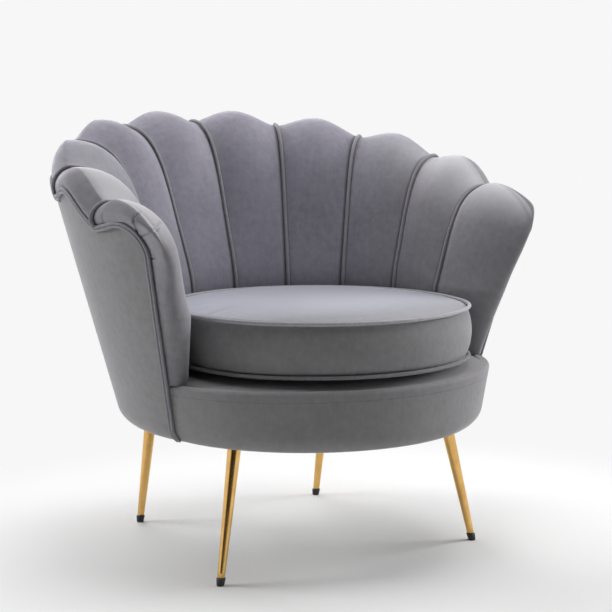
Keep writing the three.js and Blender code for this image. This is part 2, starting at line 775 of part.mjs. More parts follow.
function addRailPanel() {
  const arc = (inset) => Array.from({ length: railColumns + 1 }, (_, j) => {
    const angle = mix(railPanelStartAngle, fullTurnAngle - railPanelStartAngle, j / railColumns);
    const p = polar(angle, railRadius(angle, blockFloor) - inset, 0);
    return [p.x, p.y];
  });
  const outline = [...arc(railPanelInset), ...arc(railPanelInset + railPanelThickness).reverse()];
  addPiece("front_rail_panel", board(outline, blockHeight), plywood).position.z = blockFloor;
}

function addLegs() {
  for (const [place, foot, top, side] of legs) {
    const axis = (z) => {
      const share = z / dustCoverFloor;
      return { x: side * mix(foot.x, top.x, share), y: mix(foot.y, top.y, share) };
    };
    const legFoot = footCapHeight + clearance;
    const legTop = dustCoverFloor - clearance;
    const stud = sided(top, side);
    const leg = loft([
      circle(axis(legFoot), legTipRadius, legFoot),
      circle(stud, legTopRadius, legTop),
      circle(stud, studRadius, legTop),
      circle(stud, studRadius, legTop + studLength),
    ]);
    addPiece("leg_" + place, leg, goldMetal);
    const cap = loft([circle(axis(0), legTipRadius, 0), circle(axis(footCapHeight), footCapRadius, footCapHeight)]);
    addPiece("foot_cap_" + place, cap, blackPlastic);
    const bore = studRadius + clearance;
    const barrel = bore + insertWall;
    const insert = turned([
      [bore, boardFloor],
      [barrel, boardFloor],
      [barrel, blockFloor],
      [insertFlangeRadius, blockFloor],
      [insertFlangeRadius, blockFloor + insertFlangeThickness],
      [bore, blockFloor + insertFlangeThickness],
      [bore, boardFloor],
    ], roundSides);
    addPiece("leg_insert_" + place, insert, steel).position.set(stud.x, stud.y, 0);
    const halfBlock = blockSize / 2;
    const corners = [[-halfBlock, -halfBlock], [halfBlock, -halfBlock], [halfBlock, halfBlock], [-halfBlock, halfBlock]];
    const hole = { x: 0, y: 0, radius: insertFlangeRadius + softGap };
    const block = addPiece("leg_block_" + place, board(corners, blockHeight, [hole]), plywood);
    block.position.set(stud.x, stud.y, blockFloor);
    block.rotation.z = Math.atan2(stud.y - shellAxisBehind, stud.x);
  }
}

// Back of the padding at an angle and a height, as a distance from the seat's axis: inside the ridge, or under it
function backAtHeight(backs, z) {
  const i = backs.findIndex((p) => p.y >= z);
  if (i < 1) return backs[0].x;
  return mix(backs[i - 1].x, backs[i].x, (z - backs[i - 1].y) / (backs[i].y - backs[i - 1].y));
}

const padBack = (angle, z) => backAtHeight(channelRows(angle).map(({ back }) => back), z);
const rollBack = (angle, z) => backAtHeight(channelRows(angle).slice(rollRow).map(({ back }) => back).reverse(), z);

const hoopHeight = (angle) => ridgeHeight(angle) - hoopBelowRidge;

function addHoop() {
  const half = hoopSize / 2;
  const stations = Array.from({ length: hoopStations + 1 }, (_, k) => {
    const angle = mix(hoopHalfAngle, -hoopHalfAngle, k / hoopStations);
    const z = hoopHeight(angle);
    const between = (padBack(angle, z + half) + rollBack(angle, z + half)) / 2;
    return { point: polar(angle, between, z), normal: new THREE.Vector3(0, 0, 1) };
  });
  addPiece("top_hoop", cord(stations, regularSection(hoopSize / Math.SQRT2, 4)), plywood);
}

// Ribs stand on the ring, close behind the padding, and carry the hoop
function addRibs() {
  const half = ribThickness / 2;
  for (let k = -ribsPerSide; k <= ribsPerSide; k++) {
    const angle = k * ribPitchAngle;
    const lowSide = Math.min(Math.abs(angle) + degrees(half / innerRadius), lastSeam);
    const slope = (hoopHeight(angle) - hoopHeight(lowSide)) / half;
    const drop = (hoopSize / 2) * Math.hypot(1, slope) + half * slope;
    const top = hoopHeight(angle) - drop - clearance;
    const curlStart = ridgeHeight(lowSide) - curlHeight;
    const heights = [strapFloor];
    channelRows(lowSide).slice(1, rollRow).forEach(({ back }) => {
      if (back.y > heights[heights.length - 1] && back.y < top) heights.push(back.y);
    });
    heights.push(top);
    const corners = heights.map((z) => [padBack(lowSide, z) + 2 * softGap, z]);
    corners.push([offAxis(angle, coneRadius(top)) - ribInset, top]);
    corners.push([offAxis(angle, coneRadius(strapFloor)) - ribInset, strapFloor]);
    const rib = board(corners, ribThickness).translate(0, 0, -half).rotateX(Math.PI / 2);
    addPiece("back_rib_" + (k + ribsPerSide + 1), rib, plywood).rotation.z = Math.PI / 2 - radians(angle);
  }
}

function addStraps() {
  for (let k = 0; k < lengthwiseStraps; k++) {
    const strap = addPiece("strap_lengthwise_" + (k + 1), new THREE.BoxGeometry(strapWidth, strapLength, strapThickness), webbing);
    const x = (k - (lengthwiseStraps - 1) / 2) * strapPitch;
    strap.position.set(x, strapsBehind, strapFloor + strapThickness / 2);
  }
  for (let k = 0; k < crosswiseStraps; k++) {
    const strap = addPiece("strap_crosswise_" + (k + 1), new THREE.BoxGeometry(strapLength, strapWidth, strapThickness), webbing);
    const y = (k - (crosswiseStraps - 1) / 2) * strapPitch;
    strap.position.set(0, y, strapFloor + strapThickness + clearance + strapThickness / 2);
  }
}

// The deck pad fills the ring's top between the channels and the rail's lip, and rises to its middle
function addDeck() {
  const outline = (share, z) => Array.from({ length: outlineSides / 2 }, (_, k) => {
    const angle = (-fullTurnAngle * k) / (outlineSides / 2);
    const lip = railRadius(angle, deckEdgeHeight - skinThickness) - railLipWidth - 2 * softGap;
    return polar(angle, share * Math.min(deckRadius, lip), z);
  });
  const rings = [outline(1, deckFloor), outline(1, deckEdgeHeight)];
  crownRings_share.forEach((share) => {
    const fall = share / crownRings_share[0];
    rings.push(outline(share, deckEdgeHeight + deckCrown * (1 - fall ** 2)));
  });
  addPiece("deck_pad", loft(rings), velvet);
}

// The loose cushion: drawn in at its two piped edges, fuller between them, with a crown
function addCushion() {
  const cushion = new THREE.Group();
  cushion.position.y = -cushionForward;
  seated.add(cushion);
  const face = cushionRadius - cushionEdge;
  const middle = (cushionTop + cushionBottom) / 2;
  const crown = crownRings_share.map((share) => [face * share, cushionTop + cushionCrown * (1 - share ** 2)]);
  const bulge = cushionRadius + cushionBulge;
  const nearBulge = cushionRadius + cushionBulge * 0.8;
  const lowSide = cushionBottom + cushionEdge;
  const highSide = cushionTop - cushionEdge;
  const corners = [
    [0, cushionBottom - cushionUnderCrown],
    [face, cushionBottom],
    [cushionRadius, lowSide],
    [nearBulge, mix(lowSide, middle, 0.5)],
    [bulge, middle - zipWidth],
    [bulge, middle + zipWidth],
    [nearBulge, mix(middle, highSide, 0.5)],
    [cushionRadius, highSide],
    [face, cushionTop],
    ...crown,
    [0, cushionTop + cushionCrown],
  ];
  addPiece("seat_cushion", turned(corners, cushionSides), velvet, cushion);
  const piping = regularSection(pipingRadius, cordSides).map(([a, b]) => [cushionRadius + softGap + a, -b]);
  piping.push(piping[0]);
  addPiece("cushion_top_piping", turned(piping, cushionSides), velvetCord, cushion).position.z = cushionTop;
  addPiece("cushion_bottom_piping", turned(piping, cushionSides), velvetCord, cushion).position.z = cushionBottom;
  const facet = fullTurnAngle / cushionSides;
  const columns = Math.round((2 * zipHalfAngle) / facet);
  const zipGrid = (radius) => [middle - zipWidth / 2, middle + zipWidth / 2].map((z) => {
    return Array.from({ length: columns + 1 }, (_, j) => polar(zipHalfAngle - j * facet, radius, z));
  });
  const zipFloor = bulge + clearance;
  addPiece("cushion_zip", slab(zipGrid(zipFloor + zipThickness), zipGrid(zipFloor)), lining, cushion);
}

addChannels();
addSeamCords();
addOutsideCover();
addDoubleWelt();
addFrontRailCover();
addBase();
addRailPanel();
addLegs();
addHoop();
addRibs();
addStraps();
addDeck();
addCushion();

// The chair stands with the middle of its depth over the origin
const bounds = new THREE.Box3().setFromObject(seated, true);
seated.position.y = -(bounds.min.y + bounds.max.y) / 2;

export default chair;
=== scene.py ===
import logging
import math
from collections.abc import Callable
from dataclasses import dataclass, field, replace
from enum import Enum

import bpy
import numpy as np
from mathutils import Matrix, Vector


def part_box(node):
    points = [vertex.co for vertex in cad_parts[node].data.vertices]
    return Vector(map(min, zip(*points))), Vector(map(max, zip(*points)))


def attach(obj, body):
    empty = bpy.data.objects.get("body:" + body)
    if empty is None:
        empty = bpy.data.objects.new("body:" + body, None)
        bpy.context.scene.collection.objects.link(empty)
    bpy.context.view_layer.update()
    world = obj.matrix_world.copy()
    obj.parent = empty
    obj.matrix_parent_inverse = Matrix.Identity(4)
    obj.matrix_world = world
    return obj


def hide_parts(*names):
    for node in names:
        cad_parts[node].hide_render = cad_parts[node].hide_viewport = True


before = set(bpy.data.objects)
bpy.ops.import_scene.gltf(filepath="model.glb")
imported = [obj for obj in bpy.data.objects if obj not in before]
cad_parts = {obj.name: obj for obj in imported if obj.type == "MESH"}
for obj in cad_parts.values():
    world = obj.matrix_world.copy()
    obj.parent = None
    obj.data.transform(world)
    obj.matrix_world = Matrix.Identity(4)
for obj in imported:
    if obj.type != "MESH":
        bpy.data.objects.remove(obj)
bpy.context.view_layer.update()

log = logging.getLogger("scallop_chair")
Grid = np.ndarray
Colour = tuple[float, float, float]


class Side(Enum):
    """The chair's two sides as seen from the front."""

    RIGHT = 1
    LEFT = -1


# ---- small helpers for numbers ----


def mix(a: Grid | float, b: Grid | float, share: Grid | float) -> Grid:
    """Value a share of the way from a to b."""
    return a + (b - a) * share


def smooth(t: Grid | float) -> Grid:
    """Smooth step: 3t^2 - 2t^3 with t held between 0 and 1."""
    t = np.clip(t, 0.0, 1.0)
    return t * t * (3.0 - 2.0 * t)


def bezier(p0: Grid, p1: Grid, p2: Grid, p3: Grid, t: Grid) -> Grid:
    """Cubic Bezier: (1-t)^3 p0 + 3(1-t)^2 t p1 + 3(1-t) t^2 p2 + t^3 p3."""
    s = 1.0 - t
    return s**3 * p0 + 3 * s * s * t * p1 + 3 * s * t * t * p2 + t**3 * p3


def unit(v: Grid) -> Grid:
    """Vectors of length one along the last axis."""
    return v / np.maximum(np.linalg.norm(v, axis=-1, keepdims=True), 1e-12)


def stack(*parts: Grid) -> Grid:
    """Arrays of x, y, z joined along a new last axis, after broadcasting."""
    return np.stack(np.broadcast_arrays(*parts), axis=-1).astype(float)


def mirrored(points: Grid) -> Grid:
    """Points with x turned round."""
    return points * np.array([-1.0, 1.0, 1.0])


# ---- meshes from grids ----


def linked(name: str, data: bpy.types.ID) -> bpy.types.Object:
    """A new object of the scene.

    Args:
        name: Its name.
        data: Its mesh, lamp or camera.

    Returns:
        The object, at the origin.
    """
    made = bpy.data.objects.new(name, data)
    bpy.context.scene.collection.objects.link(made)
    return made


def points_of(mesh: bpy.types.Mesh) -> Grid:
    """Reads a mesh's points.

    Args:
        mesh: The mesh.

    Returns:
        Its points, (n, 3).
    """
    points = np.zeros(len(mesh.vertices) * 3, np.float32)
    mesh.vertices.foreach_get("co", points)
    return points.reshape(-1, 3)


def set_points(mesh: bpy.types.Mesh, points: Grid) -> None:
    """Moves a mesh's points to new places."""
    mesh.vertices.foreach_set("co", points.ravel())
    mesh.update()


def finish_mesh(
    name: str, verts: Grid, quads: Grid, uv: Grid | None = None, sharp: float = 50.0, beside: Grid | None = None
) -> bpy.types.Object:
    """Puts arrays into a smooth-shaded mesh object at the origin.

    Args:
        name: Name of the piece.
        verts: Points, shape (n, 3).
        quads: Corner numbers, shape (m, 4); a triangle repeats its last corner.
        uv: Coordinates of each point in metres along the cloth, shape (n, 2).
        sharp: Angle in degrees over which an edge stays hard.
        beside: Distances in metres of each point from the left and right seams, shape (n, 2).

    Returns:
        The new object, linked to the scene.
    """
    mesh = bpy.data.meshes.new(name)
    faces = [q[:3] if q[2] == q[3] else q for q in np.asarray(quads).tolist()]
    mesh.from_pydata(np.asarray(verts).tolist(), [], faces)
    corners = np.zeros(len(mesh.loops), np.int32)
    mesh.loops.foreach_get("vertex_index", corners)
    for layer_name, values in (("cloth", uv), ("seams", beside)):
        if values is not None:
            layer = mesh.uv_layers.new(name=layer_name)
            layer.data.foreach_set("uv", np.asarray(values, np.float32)[corners].ravel())
    mesh.polygons.foreach_set("use_smooth", np.ones(len(mesh.polygons), bool))
    mesh.set_sharp_from_angle(angle=math.radians(sharp))
    mesh.validate()
    return linked(name, mesh)


def grid_quads(rows: int, columns: int, start: int = 0, wrap: bool = False) -> Grid:
    """Quads over a grid of points whose columns run right and rows run up, seen from outside.

    Args:
        rows: Rows of points.
        columns: Columns of points.
        start: Number of the first point.
        wrap: True if the last column joins the first.

    Returns:
        Corner numbers, (n, 4).
    """
    last = columns if wrap else columns - 1
    i, j = np.meshgrid(np.arange(rows - 1), np.arange(last), indexing="ij")
    k = (j + 1) % columns
    quads = np.stack([i * columns + j, i * columns + k, (i + 1) * columns + k, (i + 1) * columns + j], -1)
    return quads.reshape(-1, 4) + start


def arc_uv(points: Grid) -> Grid:
    """Lengths along the rows, from their middle, and up the columns of a grid of points.

    Args:
        points: Points, (rows, columns, 3).

    Returns:
        Lengths in metres, (rows, columns, 2).
    """
    across = np.linalg.norm(np.diff(points, axis=1), axis=-1)
    up = np.linalg.norm(np.diff(points, axis=0), axis=-1)
    u = np.concatenate([np.zeros((points.shape[0], 1)), np.cumsum(across, 1)], 1)
    v = np.concatenate([np.zeros((1, points.shape[1])), np.cumsum(up, 0)], 0)
    return np.stack([u - u[:, -1:] / 2, v], -1)


def slab(name: str, face: Grid, back: Grid) -> bpy.types.Object:
    """A closed slab between two grids of points of one shape.

    Args:
        name: Name of the piece.
        face: Outer grid, (rows, columns, 3), columns to the right and rows up seen from outside.
        back: Inner grid of the same shape.

    Returns:
        The new object.
    """
    rows, columns = face.shape[:2]
    count = rows * columns
    front = grid_quads(rows, columns)
    rear = grid_quads(rows, columns, count)[:, ::-1]
    edge = np.concatenate(
        [
            np.arange(columns),
            np.arange(1, rows) * columns + columns - 1,
            (rows - 1) * columns + np.arange(columns - 2, -1, -1),
            np.arange(rows - 2, 0, -1) * columns,
        ]
    )
    following = np.roll(edge, -1)
    rim = np.stack([edge, edge + count, following + count, following], -1)
    verts = np.concatenate([face.reshape(-1, 3), back.reshape(-1, 3)])
    cloth = arc_uv(face)
    beside = np.stack([cloth[..., 0] - cloth[:, :1, 0], cloth[:, -1:, 0] - cloth[..., 0]], -1)
    uv, seams = (np.concatenate([grid.reshape(-1, 2)] * 2) for grid in (cloth, beside))
    return finish_mesh(name, verts, np.concatenate([front, rear, rim]), uv, beside=seams)


def tube(path: Grid, normal: Grid, radius: float, sides: int = 14, offset: tuple[float, float] = (0, 0)) -> tuple:
    """A round cord with domed ends along a path.

    The section at each point is the circle radius * (cos a, sin a) in the plane of the side
    vector (path direction x normal) and the outward vector; three shrinking rings close each end.

    Args:
        path: Points, (n, 3).
        normal: Outward directions, (n, 3).
        radius: Radius of the cord.
        sides: Corners round the section.
        offset: Shift of the whole section along the side and outward vectors.

    Returns:
        (points, quads, uv) arrays.
    """
    along = unit(np.gradient(path, axis=0))
    side = unit(np.cross(along, normal))
    out = np.cross(side, along)
    centre = path + side * offset[0] + out * offset[1]
    dome = np.radians([30.0, 60.0, 89.0])
    grow = np.concatenate([np.cos(dome)[::-1], np.ones(len(path)), np.cos(dome)])
    slide = np.concatenate([-np.sin(dome)[::-1], np.zeros(len(path)), np.sin(dome)]) * radius
    pick = np.clip(np.arange(len(grow)) - len(dome), 0, len(path) - 1)
    centre = centre[pick] + along[pick] * slide[:, None]
    angle = -2 * np.pi * np.arange(sides) / sides
    ring = np.cos(angle)[None, :, None] * side[pick][:, None] + np.sin(angle)[None, :, None] * out[pick][:, None]
    points = centre[:, None] + ring * (radius * grow)[:, None, None]
    rows = len(grow)
    quads = grid_quads(rows, sides, wrap=True)
    first = np.arange(1, sides - 1)
    caps = [np.stack([first * 0, first + 1, first, first], -1)]
    base = (rows - 1) * sides
    caps.append(np.stack([first * 0 + base, base + first, base + first + 1, base + first + 1], -1))
    length = np.concatenate([[0], np.cumsum(np.linalg.norm(np.diff(centre, axis=0), axis=-1))])
    uv = np.stack(np.broadcast_arrays(np.arange(sides)[None] / sides, length[:, None]), -1)
    return points.reshape(-1, 3), np.concatenate([quads, *caps]), uv.reshape(-1, 2)


def joined(name: str, parts: list[tuple]) -> bpy.types.Object:
    """One object from several (points, quads, uv) parts.

    Args:
        name: Name of the piece.
        parts: Parts as tube gives them.

    Returns:
        The new object.
    """
    verts, quads, uvs, start = [], [], [], 0
    for points, faces, uv in parts:
        verts.append(points)
        quads.append(faces + start)
        uvs.append(uv)
        start += len(points)
    return finish_mesh(name, np.concatenate(verts), np.concatenate(quads), np.concatenate(uvs), 80.0)


def poled(points: Grid, poles: Grid) -> tuple[Grid, list[Grid]]:
    """Closes a round grid below and above.

    Args:
        points: Points, (rows, sides, 3).
        poles: The lower and the upper pole, (2, 3).

    Returns:
        (points with the poles after them, the two fans of triangles).
    """
    count, sides = points.shape[0] * points.shape[1], points.shape[1]
    j = np.arange(sides)
    k = (j + 1) % sides
    low, high = j * 0 + count, j * 0 + count + 1
    base = count - sides
    fans = [np.stack([k, j, low, low], -1), np.stack([base + j, base + k, high, high], -1)]
    return np.concatenate([points.reshape(-1, 3), poles]), fans


def lathe(name: str, radius: Grid, height: Grid, centre: Grid, sides: int, tops: bool = True) -> bpy.types.Object:
    """A closed solid of revolution: each (radius, height) goes round centre as (r cos a, r sin a, h).

    Args:
        name: Name of the piece.
        radius: Radii of the profile, from the underside's middle outwards and up.
        height: Heights of the profile.
        centre: (x, y) of the upright axis; one pair, or a pair for each profile point.
        sides: Corners round the axis.
        tops: True if both ends close on the axis with a fan.

    Returns:
        The new object.
    """
    angle = 2 * np.pi * np.arange(sides) / sides
    axis = np.broadcast_to(np.asarray(centre, float), (len(radius), 2))
    x = axis[:, :1] + radius[:, None] * np.cos(angle)
    y = axis[:, 1:] + radius[:, None] * np.sin(angle)
    points = stack(x, y, height[:, None])
    quads = [grid_quads(len(radius), sides, wrap=True)]
    if tops:
        points, fans = poled(points, stack(axis[[0, -1], 0], axis[[0, -1], 1], height[[0, -1]]))
        quads += fans
    points = points.reshape(-1, 3)
    return finish_mesh(name, points, np.concatenate(quads), points[:, :2])


def dress(
    piece: bpy.types.Object, material: bpy.types.Material, slot: str, *nodes: str, body: str = "chair"
) -> bpy.types.Object:
    """Gives a piece its material and its body, and lets it stand for CAD nodes.

    Args:
        piece: The piece.
        material: Its material.
        slot: Its slot; not used.
        nodes: CAD nodes that it replaces.
        body: Its body.

    Returns:
        The piece.
    """
    piece.data.materials.append(material)
    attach(piece, body)
    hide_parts(*nodes)
    log.info("made %s with %d faces", piece.name, len(piece.data.polygons))
    return piece


def inflated(
    piece: bpy.types.Object,
    pins: Callable[[Grid], Grid],
    cap: float,
    pressure: float = 4.0,
    voxel: float = 0.006,
    frames: int = 20,
) -> bpy.types.Object:
    """A closed piece blown up as cloth, with its Cloth modifier gone again.

    Args:
        piece: The piece, slightly too small; it is removed.
        pins: Tells which points stay, from points of shape (n, 3).
        cap: No point moves further; a move d becomes cap * tanh(|d| / cap) along d.
        pressure: Pressure inside the cloth.
        voxel: Size of the even mesh that is simulated.
        frames: Frames that the simulation runs.

    Returns:
        The new piece, with one level of subdivision on it.
    """
    remesh = piece.modifiers.new("even_mesh", "REMESH")
    remesh.mode, remesh.voxel_size, remesh.use_smooth_shade = "VOXEL", voxel, True
    name = piece.name
    mesh = bpy.data.meshes.new_from_object(piece.evaluated_get(bpy.context.evaluated_depsgraph_get()))
    bpy.data.objects.remove(piece)
    made = linked(name, mesh)
    start = points_of(mesh)
    made.vertex_groups.new(name="pins").add(np.flatnonzero(pins(start)).tolist(), 1.0, "REPLACE")
    cloth = made.modifiers.new("cloth", "CLOTH")
    cloth.settings.vertex_group_mass = "pins"
    cloth.settings.use_pressure = True
    cloth.settings.uniform_pressure_force = pressure
    cloth.settings.effector_weights.gravity = 0.0
    for number in range(1, frames + 1):
        bpy.context.scene.frame_set(number)
    end = points_of(made.evaluated_get(bpy.context.evaluated_depsgraph_get()).to_mesh())
    made.modifiers.remove(cloth)
    bpy.context.scene.frame_set(1)
    move = end - start
    size = np.maximum(np.linalg.norm(move, axis=-1, keepdims=True), 1e-9)
    log.info("%s swelled by up to %.1f mm, capped at %.1f mm", name, 1000 * size.max(), 1000 * cap)
    set_points(mesh, start + move / size * cap * np.tanh(size / cap))
    finer = made.modifiers.new("finer", "SUBSURF")
    finer.levels = finer.render_levels = 1
    return made


# ---- shader nodes ----


class Value:
    """A socket of a node tree, with the arithmetic that the finishes use."""

    def __init__(self, shade: "Shade", socket: bpy.types.NodeSocket) -> None:
        """Wraps one output socket."""
        self.shade = shade
        self.socket = socket

    def _math(self, operation: str, a: "Value | float", b: "Value | float" = 0.0) -> "Value":
        """Adds one Math node and returns its result."""
        return self.shade.node("ShaderNodeMath", {"operation": operation}, {0: a, 1: b})

    def __add__(self, other: "Value | float") -> "Value":
        """Sum."""
        return self._math("ADD", self, other)

    def __sub__(self, other: "Value | float") -> "Value":
        """Difference."""
        return self._math("SUBTRACT", self, other)

    def __rsub__(self, other: float) -> "Value":
        """Difference from a number."""
        return self._math("SUBTRACT", other, self)

    def __mul__(self, other: "Value | float") -> "Value":
        """Product."""
        return self._math("MULTIPLY", self, other)

    def __pow__(self, other: "Value | float") -> "Value":
        """Power."""
        return self._math("POWER", self, other)

    __radd__ = __add__
    __rmul__ = __mul__

    def larger(self, other: "Value") -> "Value":
        """The larger of two values."""
        return self._math("MAXIMUM", self, other)

    def axis(self, number: int) -> "Value":
        """One coordinate of this vector: 0 for x, 1 for y, 2 for z."""
        return self.shade.node("ShaderNodeSeparateXYZ", None, {0: self}, output=number)

    def vector(self, operation: str, other: "Value | tuple" = (0.0, 0.0, 0.0), output: str = "Vector") -> "Value":
        """Adds one Vector Math node and returns its result."""
        return self.shade.node("ShaderNodeVectorMath", {"operation": operation}, {0: self, 1: other}, output)

    def clamped(self, low: float, high: float) -> "Value":
        """This value moved from low..high to 0..1 and held there."""
        return self.shade.node("ShaderNodeMapRange", {"clamp": True}, {0: self, 1: low, 2: high})


@dataclass
class Shade:
    """The node tree of a new material or world."""

    owner: bpy.types.Material | bpy.types.World
    tree: bpy.types.NodeTree = field(init=False)

    def __post_init__(self) -> None:
        """Empties the owner's tree."""
        self.owner.use_nodes = True
        self.tree = self.owner.node_tree
        self.tree.nodes.clear()

    def node(self, kind: str, settings: dict | None = None, inputs: dict | None = None, output: int | str = 0) -> Value:
        """Adds a node.

        Args:
            kind: Blender's type name of the node.
            settings: Properties, set first.
            inputs: Values or links by socket name or number.
            output: Which output socket to return.

        Returns:
            The output socket, wrapped.
        """
        made = self.tree.nodes.new(kind)
        for key, value in (settings or {}).items():
            setattr(made, key, value)
        for key, value in (inputs or {}).items():
            if isinstance(value, Value):
                self.tree.links.new(made.inputs[key], value.socket)
            else:
                made.inputs[key].default_value = value
        return Value(self, made.outputs[output]) if made.outputs else Value(self, None)

    def place(self, scale: tuple[float, float, float] = (1, 1, 1)) -> Value:
        """Object coordinates, stretched."""
        return self.node("ShaderNodeMapping", None, {"Vector": self.object_place(), "Scale": scale})

    def object_place(self) -> Value:
        """Object coordinates."""
        return self.node("ShaderNodeTexCoord", output="Object")

    def normal(self) -> Value:
        """The surface's normal."""
        return self.node("ShaderNodeNewGeometry", output="Normal")

    def ray(self, kind: str) -> Value:
        """1 for rays of a kind, such as Camera, and else 0."""
        return self.node("ShaderNodeLightPath", output=f"Is {kind} Ray")

    def cloth(self, scale: tuple[float, float, float] = (1, 1, 1)) -> Value:
        """The piece's own UV map in metres, stretched."""
        where = self.node("ShaderNodeUVMap", {"uv_map": "cloth"})
        return self.node("ShaderNodeMapping", None, {"Vector": where, "Scale": scale})

    def noise(self, where: Value, scale: float, detail: float = 2.0, rough: float = 0.5) -> Value:
        """Smooth noise from 0 to 1 at so many cells to the metre."""
        inputs = {"Vector": where, "Scale": scale, "Detail": detail, "Roughness": rough}
        return self.node("ShaderNodeTexNoise", None, inputs)

    def blend(self, share: Value | float, a: Value | tuple, b: Value | tuple) -> Value:
        """Colour mixed from a to b.

        Args:
            share: 0 for a, 1 for b.
            a: First colour.
            b: Second colour.

        Returns:
            The mixed colour.
        """
        a = a if isinstance(a, Value) else (*a, 1.0)
        b = b if isinstance(b, Value) else (*b, 1.0)
        return self.node("ShaderNodeMix", {"data_type": "RGBA"}, {0: share, 6: a, 7: b}, output=2)

    def bump(self, height: Value, strength: float, distance: float, under: Value | None = None) -> Value:
        """Normal bent by a height.

        Args:
            height: Height, 0 to 1.
            strength: Share of the full effect.
            distance: Full height in metres.
            under: A normal that is bent already.

        Returns:
            The bent normal.
        """
        inputs = {"Height": height, "Strength": strength, "Distance": distance}
        if under is not None:
            inputs["Normal"] = under
        return self.node("ShaderNodeBump", None, inputs)

    def surface(self, **sockets: Value | float | tuple) -> bpy.types.Material:
        """Ends the tree in a Principled shader.

        Args:
            sockets: Values by the socket's name, with _ for a space.

        Returns:
            The material.
        """
        names = {key.replace("_", " "): value for key, value in sockets.items()}
        shader = self.node("ShaderNodeBsdfPrincipled", None, names)
        self.node("ShaderNodeOutputMaterial", None, {"Surface": shader})
        return self.owner


